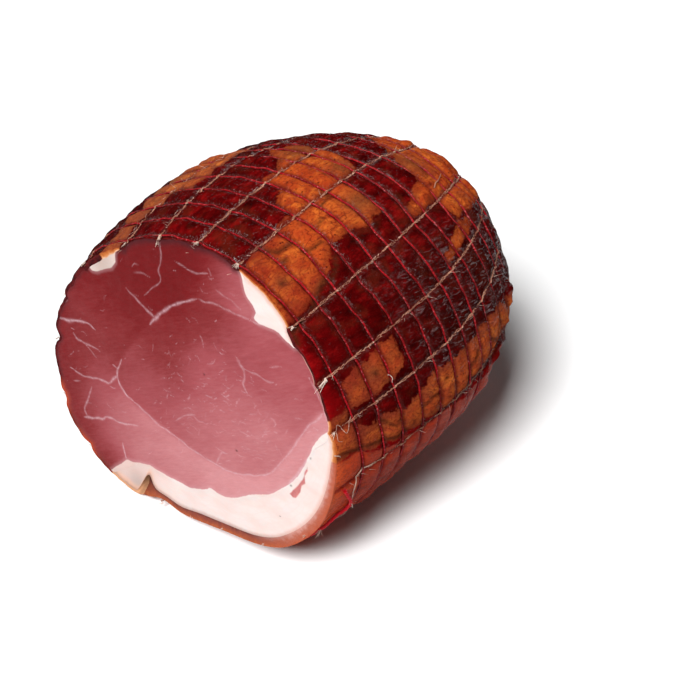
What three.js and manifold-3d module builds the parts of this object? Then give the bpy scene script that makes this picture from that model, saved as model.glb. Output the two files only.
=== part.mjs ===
// Smoked boneless ham, cut square across at one end and held in a knitted net.
// The net is one fused lattice of rings and lengthwise strings. Under it the meat is two
// solids, the lean and the fat layers that show at the cut and run back through the ham.
// Units are millimetres, +Z is up, the cut faces -Y, and the ham lies on the plane z = 0.
import * as THREE from 'three';
import { mergeVertices } from 'three/addons/utils/BufferGeometryUtils.js';
import Module from 'manifold-3d';

const wasm = await Module();
wasm.setup();

const DEGREE = Math.PI / 180;
const X_AXIS = new THREE.Vector3(1, 0, 0);

// The ham's own axis starts at the cut and runs back along +Y. Its section is given by the
// distance from that axis to the surface, every 30 degrees from +X towards +Z.
const cutRadii = [94, 90, 83, 72, 64, 70, 80, 84, 75, 64, 66, 82];
const bellyRadii = [100, 100, 91, 80, 77, 85, 90, 89, 83, 77, 79, 85];
const bellyAt = 70;
const hamLength = 175;
const domePower = 1.9;
const domeRound = 0.5;
const tipRise = 8;

// The cut leans back a little, and the whole ham rests nose down on its flattened belly.
const cutLean = 0.18;
const noseDown = 6 * DEGREE;
const axisHeight = 67.2;

// The net. Rings are placed by their distance from the cut, strings by their angle. Past the
// rings that show, the rest follow the dome at an even pitch.
const frontRings = [15.5, 27, 38, 49.5, 60.5, 70.5, 81, 91, 100.5, 113];
const domeRings = 8;
const domePitch = 12.2;
const frontStrings = [-2.5, 14, 26.5, 41.5, 64, 82, 107];
const hiddenStrings = 12;
const netTwist = 0.05 * DEGREE;
const ringWidth = 1.4;
const stringWidth = 1.8;
const tailFrom = 205 * DEGREE;
const tailTo = 340 * DEGREE;

// Heights above the mean surface of the ham: the meat sinks under the threads and swells
// between them, and the threads stand half out of it.
const valley = -1.2;
const pillow = 0.7;
const threadFoot = -0.4;
const threadTop = 0.7;
const closeStrings = 3;
const freeStrings = 16;

// Thickness of the two fat layers, read at even steps of angle.
const lowerFat = { from: 234, to: 374, depths: [3, 22, 18, 16, 18, 22, 25, 25, 22, 18, 2] };
const sideFat = { from: 36, to: 64, depths: [2, 8, 12, 8, 2] };
const fatReach = 150;
const fatGap = 0.4;

const knotRadius = 5;

const colours = { lean: 0xb5525c, fat: 0xf3e3da, net: 0xb3262e, knot: 0xc9b48c };

// Smooth closed curve through values spaced evenly round the section.
function roundTheSection(values, angle) {
  const turns = THREE.MathUtils.euclideanModulo(angle / (2 * Math.PI), 1) * values.length;
  const index = Math.floor(turns);
  const at = (step) => values[(index + step + values.length) % values.length];
  return catmullRom(turns - index, at(-1), at(0), at(1), at(2));
}

// Smooth open curve through values spaced evenly from 0 to 1.
function alongValues(values, share) {
  const steps = THREE.MathUtils.clamp(share, 0, 1) * (values.length - 1);
  const index = Math.min(Math.floor(steps), values.length - 2);
  return THREE.MathUtils.lerp(values[index], values[index + 1], steps - index);
}

function catmullRom(t, before, start, end, after) {
  const linear = 0.5 * (end - before);
  const square = before - 2.5 * start + 2 * end - 0.5 * after;
  const cube = 1.5 * (start - end) + 0.5 * (after - before);
  return start + t * (linear + t * (square + t * cube));
}

// How much the section has closed in towards the far tip, 1 up to the belly and 0 at the tip.
function domeShare(along) {
  const past = THREE.MathUtils.clamp((along - bellyAt) / (hamLength - bellyAt), 0, 1);
  return Math.pow(1 - Math.pow(past, domePower), domeRound);
}

function meanPoint(angle, along) {
  const swell = along < bellyAt ? 1 - (1 - along / bellyAt) ** 2 : 1;
  const open = roundTheSection(cutRadii, angle) * (1 - swell);
  const radius = (open + roundTheSection(bellyRadii, angle) * swell) * domeShare(along);
  const past = THREE.MathUtils.clamp((along - bellyAt) / (hamLength - bellyAt), 0, 1);
  const centreZ = tipRise * past ** 2;
  return new THREE.Vector3(radius * Math.cos(angle), along, centreZ + radius * Math.sin(angle));
}

function outward(angle, along) {
  const turn = 0.01;
  const step = 0.2;
  const acrossStep = meanPoint(angle + turn, along).sub(meanPoint(angle - turn, along));
  const alongStep = meanPoint(angle, along + step).sub(meanPoint(angle, along - step));
  return alongStep.cross(acrossStep).normalize();
}

// Length walked over the surface for each millimetre along the axis.
function meridianStretch(angle, along) {
  const step = 0.2;
  return meanPoint(angle, along + step).distanceTo(meanPoint(angle, along - step)) / (2 * step);
}

// A point of the ham as it lies, at a height above the mean surface. Under the belly every
// layer is pressed flat, with the threads lowest.
function hamPoint(angle, along, height) {
  const point = meanPoint(angle, along).addScaledVector(outward(angle, along), height);
  point.applyAxisAngle(X_AXIS, noseDown);
  point.z = Math.max(point.z + axisHeight, threadTop - height);
  return point;
}

// A point of the ham's middle line as it lies.
function onAxis(along) {
  const middle = meanPoint(0, along);
  middle.x = 0;
  middle.applyAxisAngle(X_AXIS, noseDown);
  middle.z += axisHeight;
  return middle;
}

// Where the leaning cut meets the surface at an angle.
function cutAlong(angle) {
  let along = 0;
  for (let pass = 0; pass < 12; pass += 1) {
    along = cutLean * meanPoint(angle, along).z;
  }
  return along;
}

// Distances from the cut of all the rings. On the dome they are a pitch apart along it.
function ringPlaces() {
  const places = [...frontRings];
  const meanRadius = bellyRadii.reduce((sum, radius) => sum + radius, 0) / bellyRadii.length;
  const fine = 0.05;
  let along = frontRings[frontRings.length - 1];
  for (let ring = 0; ring < domeRings; ring += 1) {
    let walked = 0;
    while (walked < domePitch && along < hamLength - 0.6) {
      const fall = meanRadius * (domeShare(along) - domeShare(along + fine));
      walked += Math.hypot(fine, fall);
      along += fine;
    }
    places.push(along);
  }
  return places;
}

// Angles of all the strings at the cut: those that show, then the rest spread evenly.
function stringAngles() {
  const angles = frontStrings.map((angle) => angle * DEGREE);
  const last = angles[angles.length - 1];
  const gap = (angles[0] + 2 * Math.PI - last) / (hiddenStrings + 1);
  for (let count = 1; count <= hiddenStrings; count += 1) {
    angles.push(last + gap * count);
  }
  return angles;
}

const rings = ringPlaces();
const strings = stringAngles();

// Column 2n lies under string n, column 2n + 1 halfway to the next.
function columnAngle(column, along) {
  const columns = strings.length * 2;
  const lap = Math.floor(column / columns);
  const inLap = column - lap * columns;
  const string = inLap >> 1;
  const next = strings[(string + 1) % strings.length];
  const end = string + 1 === strings.length ? next + 2 * Math.PI : next;
  const base = inLap % 2 === 0 ? strings[string] : (strings[string] + end) / 2;
  return base + lap * 2 * Math.PI + netTwist * along;
}

function hasTail(angle) {
  const inTurn = THREE.MathUtils.euclideanModulo(angle, 2 * Math.PI);
  return inTurn > tailFrom && inTurn < tailTo;
}

// Where a column meets the cut, and halfway from there to the first ring, where the ring
// that the cut has opened still lies on the underside.
function columnCut(column) {
  return cutAlong(columnAngle(column, 0));
}

function columnTail(column) {
  return (columnCut(column) + rings[0]) / 2;
}

function isOnDome(ring) {
  return ring >= frontRings.length;
}

// Depth of a straight link's middle below the round of the ham: a ring's link between two
// strings, and a string's link between two rings of the dome.
function ringLinkDip(column, along) {
  const [before, after] = [columnAngle(column - 1, along), columnAngle(column + 1, along)];
  const chordMiddle = meanPoint(before, along).lerp(meanPoint(after, along), 0.5);
  return chordMiddle.distanceTo(meanPoint(columnAngle(column, along), along));
}

function stringLinkDip(ring, column) {
  const angle = columnAngle(column, rings[ring]);
  const chordMiddle = meanPoint(angle, rings[ring]).lerp(meanPoint(angle, rings[ring + 1]), 0.5);
  return chordMiddle.distanceTo(meanPoint(angle, (rings[ring] + rings[ring + 1]) / 2));
}

// The meat swells less where the strings draw together near the tip.
function swelling(column, along) {
  const before = meanPoint(columnAngle(column - 1, along), along);
  const after = meanPoint(columnAngle(column + 1, along), along);
  const room = before.distanceTo(after) - stringWidth;
  const share = THREE.MathUtils.clamp((room - closeStrings) / (freeStrings - closeStrings), 0, 1);
  return THREE.MathUtils.lerp(valley, pillow, share);
}

function solidFrom(vertices, faces) {
  const geometry = new THREE.BufferGeometry();
  const positions = vertices.flatMap((vertex) => [vertex.x, vertex.y, vertex.z]);
  geometry.setAttribute('position', new THREE.Float32BufferAttribute(positions, 3));
  geometry.setIndex(faces);
  return geometry;
}

// The whole ham without its net: rows of points from the cut to the tip, with a swelling
// in the middle of each mesh of the net, closed by the flat cut and by the tip.
function wholeMeat() {
  const columns = strings.length * 2;
  const rowCount = rings.length * 2 + 1;
  const vertices = [];
  const faces = [];
  const at = (row, column) => row * columns + (column % columns);

  const rowAlong = (row, column) => {
    if (row === 0) return columnCut(column);
    if (row === 1) return columnTail(column);
    const ring = (row - 2) >> 1;
    return row % 2 === 0 ? rings[ring] : (rings[ring] + rings[ring + 1]) / 2;
  };
  const rowHeight = (row, column, along) => {
    const ring = (row - 2) >> 1;
    const underString = column % 2 === 0;
    if (row < 2 && underString) return valley;
    if (row === 0) return 0;
    if (row === 1) return hasTail(columnAngle(column, along)) ? valley : valley / 2;
    if (row % 2 === 1 && underString) return valley - stringLinkDip(ring, column);
    if (row % 2 === 1) return swelling(column, along);
    return !underString && isOnDome(ring) ? valley - ringLinkDip(column, along) : valley;
  };

  for (let row = 0; row < rowCount; row += 1) {
    for (let column = 0; column < columns; column += 1) {
      const along = rowAlong(row, column);
      const height = rowHeight(row, column, along);
      vertices.push(hamPoint(columnAngle(column, along), along, height));
    }
  }
  const tip = vertices.push(onAxis(hamLength + valley)) - 1;
  const middle = vertices.push(onAxis(0)) - 1;

  for (let row = 0; row + 1 < rowCount; row += 1) {
    for (let column = 0; column < columns; column += 1) {
      const [a, b] = [at(row, column), at(row, column + 1)];
      const [c, d] = [at(row + 1, column + 1), at(row + 1, column)];
      const ridgeFromA = (row + column) % 2 === 0;
      if (ridgeFromA) faces.push(a, d, c, a, c, b);
      else faces.push(a, d, b, b, d, c);
    }
  }
  for (let column = 0; column < columns; column += 1) {
    faces.push(middle, at(0, column), at(0, column + 1));
    faces.push(tip, at(rowCount - 1, column + 1), at(rowCount - 1, column));
  }
  return solidFrom(vertices, faces);
}

// A block that follows the surface over a range of angles, from outside the ham down to the
// depth of a fat layer. It thins away towards the far end.
function fatBlock(layer, gap) {
  const wide = layer.depths.length - 1;
  const long = 6;
  const box = new THREE.BoxGeometry(1, 1, 1, wide, long, 1);
  const start = layer.from * DEGREE - gap / 80;
  const end = layer.to * DEGREE + gap / 80;
  const place = box.getAttribute('position');
  for (let index = 0; index < place.count; index += 1) {
    const share = place.getX(index) + 0.5;
    const along = THREE.MathUtils.lerp(-25, fatReach + gap, place.getY(index) + 0.5);
    const fade = 1 - 0.85 * THREE.MathUtils.clamp(along / fatReach, 0, 1) ** 4;
    const depth = alongValues(layer.depths, share) * fade;
    const height = place.getZ(index) > 0 ? 12 : -depth - gap;
    const point = meanPoint(THREE.MathUtils.lerp(start, end, share), along);
    point.addScaledVector(outward(THREE.MathUtils.lerp(start, end, share), along), height);
    point.applyAxisAngle(X_AXIS, noseDown);
    place.setXYZ(index, point.x, point.y, point.z + axisHeight);
  }
  return facingOut(box);
}

// The mapping of a block can turn its faces in, which shows as a negative volume.
function facingOut(geometry) {
  geometry.deleteAttribute('normal');
  geometry.deleteAttribute('uv');
  const closed = mergeVertices(geometry, 1e-4);
  if (volumeOf(closed) > 0) return closed;
  const index = closed.getIndex();
  for (let face = 0; face < index.count; face += 3) {
    const second = index.getX(face + 1);
    index.setX(face + 1, index.getX(face + 2));
    index.setX(face + 2, second);
  }
  return closed;
}

function volumeOf(geometry) {
  const place = geometry.getAttribute('position');
  const index = geometry.getIndex();
  const [a, b, c] = [new THREE.Vector3(), new THREE.Vector3(), new THREE.Vector3()];
  let volume = 0;
  for (let face = 0; face < index.count; face += 3) {
    a.fromBufferAttribute(place, index.getX(face));
    b.fromBufferAttribute(place, index.getX(face + 1));
    c.fromBufferAttribute(place, index.getX(face + 2));
    volume += a.dot(b.cross(c)) / 6;
  }
  return volume;
}

function toManifold(geometry) {
  const vertProperties = new Float32Array(geometry.getAttribute('position').array);
  const triVerts = new Uint32Array(geometry.getIndex().array);
  return new wasm.Manifold(new wasm.Mesh({ numProp: 3, vertProperties, triVerts }));
}

function fromManifold(solid) {
  const { vertProperties, triVerts } = solid.getMesh();
  const geometry = new THREE.BufferGeometry();
  geometry.setAttribute('position', new THREE.BufferAttribute(vertProperties, 3));
  geometry.setIndex(new THREE.BufferAttribute(triVerts, 1));
  return geometry;
}

// The net is built link by link. Each crossing is a small block, and links of four sides
// join its faces to the next crossings, so that the whole net is one closed solid.
class NetLattice {
  constructor() {
    this.vertices = [];
    this.faces = [];
  }

  add(column, along, acrossOffset, alongOffset, height) {
    const place = along + alongOffset / meridianStretch(columnAngle(column, along), along);
    const angle = columnAngle(column, place);
    const radius = Math.max(meanPoint(angle, place).setY(0).length(), 6);
    return this.vertices.push(hamPoint(angle + acrossOffset / radius, place, height)) - 1;
  }

  // Inner and outer corners at both sides of a thread that runs along the ham.
  loopAcross(column, along, alongOffset) {
    const half = stringWidth / 2;
    return [
      this.add(column, along, half, alongOffset, threadFoot),
      this.add(column, along, half, alongOffset, threadTop),
      this.add(column, along, -half, alongOffset, threadTop),
      this.add(column, along, -half, alongOffset, threadFoot),
    ];
  }

  crossing(column, along) {
    const half = ringWidth / 2;
    const front = this.loopAcross(column, along, -half);
    const back = this.loopAcross(column, along, half);
    this.quad(front[2], back[2], back[1], front[1]);
    this.quad(front[0], back[0], back[3], front[3]);
    return {
      front,
      back,
      right: [front[0], front[1], back[1], back[0]],
      left: [front[3], front[2], back[2], back[3]],
      joined: { front: false, back: false, right: false, left: false },
    };
  }

  // Halfway along a ring's link, so that the link follows the round of the ham.
  middle(column, along) {
    const half = ringWidth / 2;
    return [
      this.add(column, along, 0, -half, threadFoot),
      this.add(column, along, 0, -half, threadTop),
      this.add(column, along, 0, half, threadTop),
      this.add(column, along, 0, half, threadFoot),
    ];
  }

  quad(a, b, c, d) {
    this.faces.push(a, b, c, a, c, d);
  }

  link(start, end) {
    for (let side = 0; side < 4; side += 1) {
      const next = (side + 1) % 4;
      this.quad(start[side], start[next], end[next], end[side]);
    }
  }

  cap(loop, atStart) {
    const [a, b, c, d] = loop;
    if (atStart) this.quad(d, c, b, a);
    else this.quad(a, b, c, d);
  }

  closeOpenSides(crossing) {
    if (!crossing.joined.front) this.cap(crossing.front, true);
    if (!crossing.joined.back) this.cap(crossing.back, false);
    if (!crossing.joined.left) this.cap(crossing.left, true);
    if (!crossing.joined.right) this.cap(crossing.right, false);
  }
}

// On the dome the links are short and run straight from string to string.
function ringLinks(net, crossings, along, straight) {
  for (let string = 0; string < strings.length; string += 1) {
    const here = crossings[string];
    const next = crossings[(string + 1) % strings.length];
    if (!here || !next) continue;
    const column = string * 2 + 1;
    if (straight) {
      net.link(here.right, next.left);
    } else {
      const halfway = net.middle(column, along(column));
      net.link(here.right, halfway);
      net.link(halfway, next.left);
    }
    here.joined.right = true;
    next.joined.left = true;
  }
}

function stringLinks(net, string, crossings) {
  const column = string * 2;
  const endGap = 0.8;
  const cutEnd = net.loopAcross(column, columnCut(column) + endGap, 0);
  net.cap(cutEnd, true);
  let before = cutEnd;
  for (const crossing of crossings) {
    net.link(before, crossing.front);
    crossing.joined.front = true;
    before = crossing.back;
  }
  crossings.slice(0, -1).forEach((crossing) => { crossing.joined.back = true; });
}

function netting() {
  const net = new NetLattice();
  const tails = strings.map((angle, string) => {
    if (!hasTail(angle)) return null;
    return net.crossing(string * 2, columnTail(string * 2));
  });
  const rows = rings.map((along) => strings.map((angle, string) => net.crossing(string * 2, along)));

  ringLinks(net, tails, columnTail, false);
  rows.forEach((row, ring) => ringLinks(net, row, () => rings[ring], isOnDome(ring)));
  strings.forEach((angle, string) => {
    const crossings = rows.map((row) => row[string]);
    if (tails[string]) crossings.unshift(tails[string]);
    stringLinks(net, string, crossings);
  });
  [tails, ...rows].flat().forEach((crossing) => {
    if (crossing) net.closeOpenSides(crossing);
  });
  return solidFrom(net.vertices, net.faces);
}

// The net is drawn together and tied off at the far tip.
function knot() {
  const geometry = new THREE.SphereGeometry(knotRadius, 10, 6);
  geometry.scale(1, 0.7, 1);
  const middle = onAxis(hamLength + knotRadius * 0.7 + 0.4);
  geometry.translate(middle.x, middle.y, middle.z);
  return facingOut(geometry);
}

function named(name, geometry, colour, roughness) {
  const material = new THREE.MeshStandardMaterial({ color: colour, roughness, metalness: 0 });
  const mesh = new THREE.Mesh(geometry, material);
  mesh.name = name;
  return mesh;
}

function buildHam() {
  const meat = toManifold(wholeMeat());
  const fatLayers = [lowerFat, sideFat];
  const fatRoom = fatLayers.map((layer) => toManifold(fatBlock(layer, fatGap)));
  const fatBody = fatLayers.map((layer) => toManifold(fatBlock(layer, 0)));
  const lean = fatRoom.reduce((rest, block) => rest.subtract(block), meat);
  const [lower, side] = fatBody.map((block) => meat.intersect(block));

  const group = new THREE.Group();
  group.add(named('lean_meat', fromManifold(lean), colours.lean, 0.5));
  group.add(named('fat_layer_lower', fromManifold(lower), colours.fat, 0.45));
  group.add(named('fat_layer_side', fromManifold(side), colours.fat, 0.45));
  group.add(named('netting', netting(), colours.net, 0.7));
  group.add(named('net_knot', knot(), colours.knot, 0.8));
  return group;
}

// Place the middle of the whole ham over the origin, resting on z = 0.
function centred(group) {
  const box = new THREE.Box3().setFromObject(group);
  const middle = box.getCenter(new THREE.Vector3());
  group.position.set(-middle.x, -middle.y, -box.min.z);
  return group;
}

export default centred(buildHam());
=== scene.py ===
# A smoked boneless ham in a knitted net, cut square across at the front, with the smoked skin,
# the lean and the fat at the cut, the red rings, the pale strings and their frayed ends.
import math
import random

import bpy
import numpy as np
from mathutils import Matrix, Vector


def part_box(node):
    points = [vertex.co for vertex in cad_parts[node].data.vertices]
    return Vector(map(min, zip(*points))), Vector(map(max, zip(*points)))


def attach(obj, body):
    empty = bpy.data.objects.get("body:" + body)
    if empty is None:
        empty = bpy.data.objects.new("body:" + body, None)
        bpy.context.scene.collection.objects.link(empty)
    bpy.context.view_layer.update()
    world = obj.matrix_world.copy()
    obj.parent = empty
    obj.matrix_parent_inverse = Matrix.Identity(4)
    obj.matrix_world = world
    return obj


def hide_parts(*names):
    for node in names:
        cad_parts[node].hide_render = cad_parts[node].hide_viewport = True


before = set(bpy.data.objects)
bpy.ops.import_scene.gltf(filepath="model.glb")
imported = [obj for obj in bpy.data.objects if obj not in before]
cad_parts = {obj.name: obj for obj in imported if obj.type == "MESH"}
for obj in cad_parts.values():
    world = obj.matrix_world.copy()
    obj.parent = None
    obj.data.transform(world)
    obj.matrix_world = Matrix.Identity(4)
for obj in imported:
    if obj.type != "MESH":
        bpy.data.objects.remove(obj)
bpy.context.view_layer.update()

# Lengths in this script are millimetres of the ham unless a name says otherwise.
MM = 0.001
DEGREE = math.pi / 180
TURN = 2 * math.pi
FLOOR_GAP = 0.03

# The ham's form in millimetres, as its solids have it: distances from its own axis to the
# surface every 30 degrees, at the cut and at the belly, and the dome that closes the far end.
CUT_RADII = np.array([94, 90, 83, 72, 64, 70, 80, 84, 75, 64, 66, 82], float)
BELLY_RADII = np.array([100, 100, 91, 80, 77, 85, 90, 89, 83, 77, 79, 85], float)
BELLY_AT = 70
HAM_LENGTH = 175
DOME_POWER = 1.9
DOME_ROUND = 0.5
TIP_RISE = 8
CUT_LEAN = 0.18
NOSE_DOWN = 6 * DEGREE
AXIS_HEIGHT = 67.2
KNOT_RADIUS = 5
KNOT_AT = HAM_LENGTH + 0.7 * KNOT_RADIUS + 0.4

# The net: rings by distance from the cut, strings by angle, both as on the solids.
FRONT_RINGS = [15.5, 27, 38, 49.5, 60.5, 70.5, 81, 91, 100.5, 113]
DOME_RINGS = 8
DOME_PITCH = 12.2
LAST_RING_GAP = 0.6
FRONT_STRINGS = [-2.5, 14, 26.5, 41.5, 64, 82, 107]
HIDDEN_STRINGS = 12
NET_TWIST = 0.05 * DEGREE
TAIL_FROM = 205 * DEGREE
TAIL_TO = 340 * DEGREE

# Heights above the mean surface: the meat under the threads and between them.
VALLEY = -1.0
PILLOW = 0.75
PRESSED_TOP = 0.45
RING_HEIGHT = -0.4
STRING_HEIGHT = -0.35

# Where rings are drawn towards the cut or away from it: degrees, width, first ring, millimetres.
RING_PULLS = [(44, 9, 2, -1.3), (57, 8, 2, 1.1), (86, 17, 8, -3.0), (20, 12, 3, 0.5)]

# How much one bulge between the threads differs from the next.
CELL_SHARES = np.random.default_rng(6).uniform(0.4, 1.45, (30, 40))


def cubic(before, start, end, after, t):
    """From start to end on a smooth curve that also heeds the values before and after them."""
    linear = 0.5 * (end - before)
    square = before - 2.5 * start + 2 * end - 0.5 * after
    cube = 1.5 * (start - end) + 0.5 * (after - before)
    return start + t * (linear + t * (square + t * cube))


def catmull_rom(values, angle):
    """Values at even angles all round, joined by a smooth curve."""
    turns = np.mod(angle / TURN, 1) * len(values)
    index = np.floor(turns).astype(int)
    neighbours = (values[(index + k) % len(values)] for k in (-1, 0, 1, 2))
    return cubic(*neighbours, turns - index)


def bell(share):
    """1 at 0, falling away to both sides."""
    return np.exp(-share ** 2)


def fading(distance, reach):
    """1 up to a distance of 0, falling away beyond it."""
    return np.exp(-np.maximum(distance, 0) / reach)


def between(value, start, end, fade_in, fade_out):
    """1 between start and end, with a fade inside each of them."""
    return np.clip((value - start) / fade_in, 0, 1) * np.clip((end - value) / fade_out, 0, 1)


def unit(vectors):
    return vectors / np.maximum(np.linalg.norm(vectors, axis=-1, keepdims=True), 1e-9)


def walked_along(path):
    """The length of a path up to each of its points."""
    return np.concatenate([[0], np.cumsum(np.linalg.norm(np.diff(path, axis=0), axis=-1))])


def past_belly(along):
    return np.clip((along - BELLY_AT) / (HAM_LENGTH - BELLY_AT), 0, 1)


def dome_share(along):
    return np.power(np.maximum(1 - past_belly(along) ** DOME_POWER, 0), DOME_ROUND)


def mean_point(angle, along):
    angle, along = np.broadcast_arrays(np.asarray(angle, float), np.asarray(along, float))
    swell = np.where(along < BELLY_AT, 1 - (1 - along / BELLY_AT) ** 2, 1)
    radius = catmull_rom(CUT_RADII, angle) * (1 - swell) + catmull_rom(BELLY_RADII, angle) * swell
    radius = radius * dome_share(along)
    centre = TIP_RISE * past_belly(along) ** 2
    return np.stack([radius * np.cos(angle), along, centre + radius * np.sin(angle)], -1)


def axis_distance(angle, along):
    return np.linalg.norm(mean_point(angle, along)[..., [0, 2]], axis=-1)


# Small steps over the mean surface, round the ham in radians and along it.
STEP_ROUND = 0.01
STEP_ALONG = 0.2


def step_along(angle, along):
    return mean_point(angle, along + STEP_ALONG) - mean_point(angle, along - STEP_ALONG)


def outward(angle, along):
    step_round = mean_point(angle + STEP_ROUND, along) - mean_point(angle - STEP_ROUND, along)
    return unit(np.cross(step_along(angle, along), step_round))


def tilted(points):
    """From the ham's own frame to the ham as it lies, before it is centred."""
    x, y, z = points[..., 0], points[..., 1], points[..., 2]
    cosine, sine = math.cos(NOSE_DOWN), math.sin(NOSE_DOWN)
    return np.stack([x, cosine * y - sine * z, sine * y + cosine * z + AXIS_HEIGHT], -1)


def middle_of(node):
    low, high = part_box(node)
    return np.array((low + high) / 2) / MM


# The knot's solid sits on the axis at the far tip, which places the ham's frame in the row's.
ROW_SHIFT = middle_of("net_knot") - tilted(np.array([0, KNOT_AT, TIP_RISE]))


def to_row(points):
    return tilted(points) + ROW_SHIFT


def ham_point(angle, along, height):
    height = np.asarray(height, float)
    point = to_row(mean_point(angle, along) + outward(angle, along) * height[..., None])
    point[..., 2] = np.maximum(point[..., 2], np.maximum(PRESSED_TOP - height, FLOOR_GAP))
    return point


def cut_along(angle):
    """Where the cut is along the axis, at an angle: it leans, so it is further back at the top."""
    along = np.zeros_like(np.asarray(angle, float))
    for _ in range(12):
        along = CUT_LEAN * mean_point(angle, along)[..., 2]
    return along


def ring_places():
    """The rings seen from the front, and those on the dome at an even pitch over its surface."""
    places = list(FRONT_RINGS)
    mean_radius = BELLY_RADII.mean()
    fine = 0.05
    along = FRONT_RINGS[-1]
    for _ in range(DOME_RINGS):
        walked = 0
        while walked < DOME_PITCH and along < HAM_LENGTH - LAST_RING_GAP:
            fall = mean_radius * (dome_share(along) - dome_share(along + fine))
            walked += math.hypot(fine, fall)
            along += fine
        places.append(along)
    return places


def string_angles():
    angles = [angle * DEGREE for angle in FRONT_STRINGS]
    gap = (angles[0] + TURN - angles[-1]) / (HIDDEN_STRINGS + 1)
    return angles + [angles[-1] + gap * (count + 1) for count in range(HIDDEN_STRINGS)]


RINGS = ring_places()
STRINGS = string_angles()

# Strings that lie aside: degrees all along, degrees more at the cut, and how far in that fades.
SWAYS = {5: (0, -4, 20), 6: (-2.5, -14, 20), 7: (-4.5, -8, 15)}


def sway(string, along):
    steady, at_cut, reach = SWAYS.get(string, (0, 0, 1))
    return (steady + at_cut * fading(along, reach)) * DEGREE


def string_turn(string, along):
    """The angle at which a string lies, at a distance from the cut."""
    return STRINGS[string] + NET_TWIST * along + sway(string, along)


def turn_between(angle, other):
    """Signed difference of two angles, from minus half a turn to half a turn."""
    return np.mod(angle - other + math.pi, TURN) - math.pi


def turn_share(angle, middle, width):
    """How many widths an angle is from the middle, both given in degrees."""
    return turn_between(angle, middle * DEGREE) / (width * DEGREE)


def ring_along(ring, angle):
    place = RINGS[ring] + np.zeros_like(angle)
    for middle, width, first, pull in RING_PULLS:
        if first <= ring < len(FRONT_RINGS):
            place = place + pull * bell(turn_share(angle, middle, width))
    return place


def has_tail(angle):
    """Where the end of the net's first ring runs on beside the cut, low on the ham."""
    in_turn = np.mod(angle, TURN)
    return (in_turn > TAIL_FROM) & (in_turn < TAIL_TO)


def tail_along(angle):
    return (cut_along(angle) + RINGS[0]) / 2


def ring_distance(angle, along):
    """Millimetres over the surface to the nearest ring."""
    nearest = np.min([np.abs(along - ring_along(ring, angle)) for ring in range(len(RINGS))], 0)
    nearest = np.where(has_tail(angle), np.minimum(nearest, np.abs(along - tail_along(angle))), nearest)
    return nearest * np.linalg.norm(step_along(angle, along), axis=-1) / (2 * STEP_ALONG)


def string_distance(angle, along):
    """Millimetres over the surface to the nearest string."""
    aside = [np.abs(turn_between(angle, string_turn(string, along))) for string in range(len(STRINGS))]
    return np.min(aside, 0) * np.maximum(axis_distance(angle, along), 1)


def cell_share(angle, along):
    """The height of the bulge that a point is on, compared with the mean one."""
    band = np.searchsorted(np.array(RINGS), along)
    from_first = np.mod(angle - NET_TWIST * along - STRINGS[0], TURN)
    sector = sum(from_first > STRINGS[string] - STRINGS[0] + sway(string, along)
                 for string in range(1, len(STRINGS)))
    return CELL_SHARES[band, sector]


def ripples(points, wavelength, seed):
    """Smooth unevenness between about -1 and 1, from a few waves in seeded directions."""
    draw = np.random.default_rng(seed)
    total = np.zeros(points.shape[:-1])
    for _ in range(9):
        direction = draw.normal(size=3)
        direction /= np.linalg.norm(direction)
        pitch = wavelength * draw.uniform(0.7, 1.4)
        total += np.sin(points @ direction * TURN / pitch + draw.uniform(0, TURN))
    return total / 3.5


def segment_distance(points, start, end):
    span = end - start
    share = np.clip(((points - start) @ span) / max(span @ span, 1e-9), 0, 1)
    return np.linalg.norm(points - start - share[..., None] * span, axis=-1)


def signed_distance(points, outline):
    """Distance to a closed outline, positive inside it."""
    corners = np.array(outline, float)
    nearest = np.full(points.shape[:-1], 1e9)
    inside = np.zeros(points.shape[:-1], bool)
    for start, end in zip(corners, np.roll(corners, -1, 0)):
        nearest = np.minimum(nearest, segment_distance(points, start, end))
        crosses = (start[1] > points[..., 1]) != (end[1] > points[..., 1])
        slope = (end[0] - start[0]) / (end[1] - start[1] if end[1] != start[1] else 1e-9)
        inside ^= crosses & (points[..., 0] < start[0] + slope * (points[..., 1] - start[1]))
    return np.where(inside, nearest, -nearest)


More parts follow.
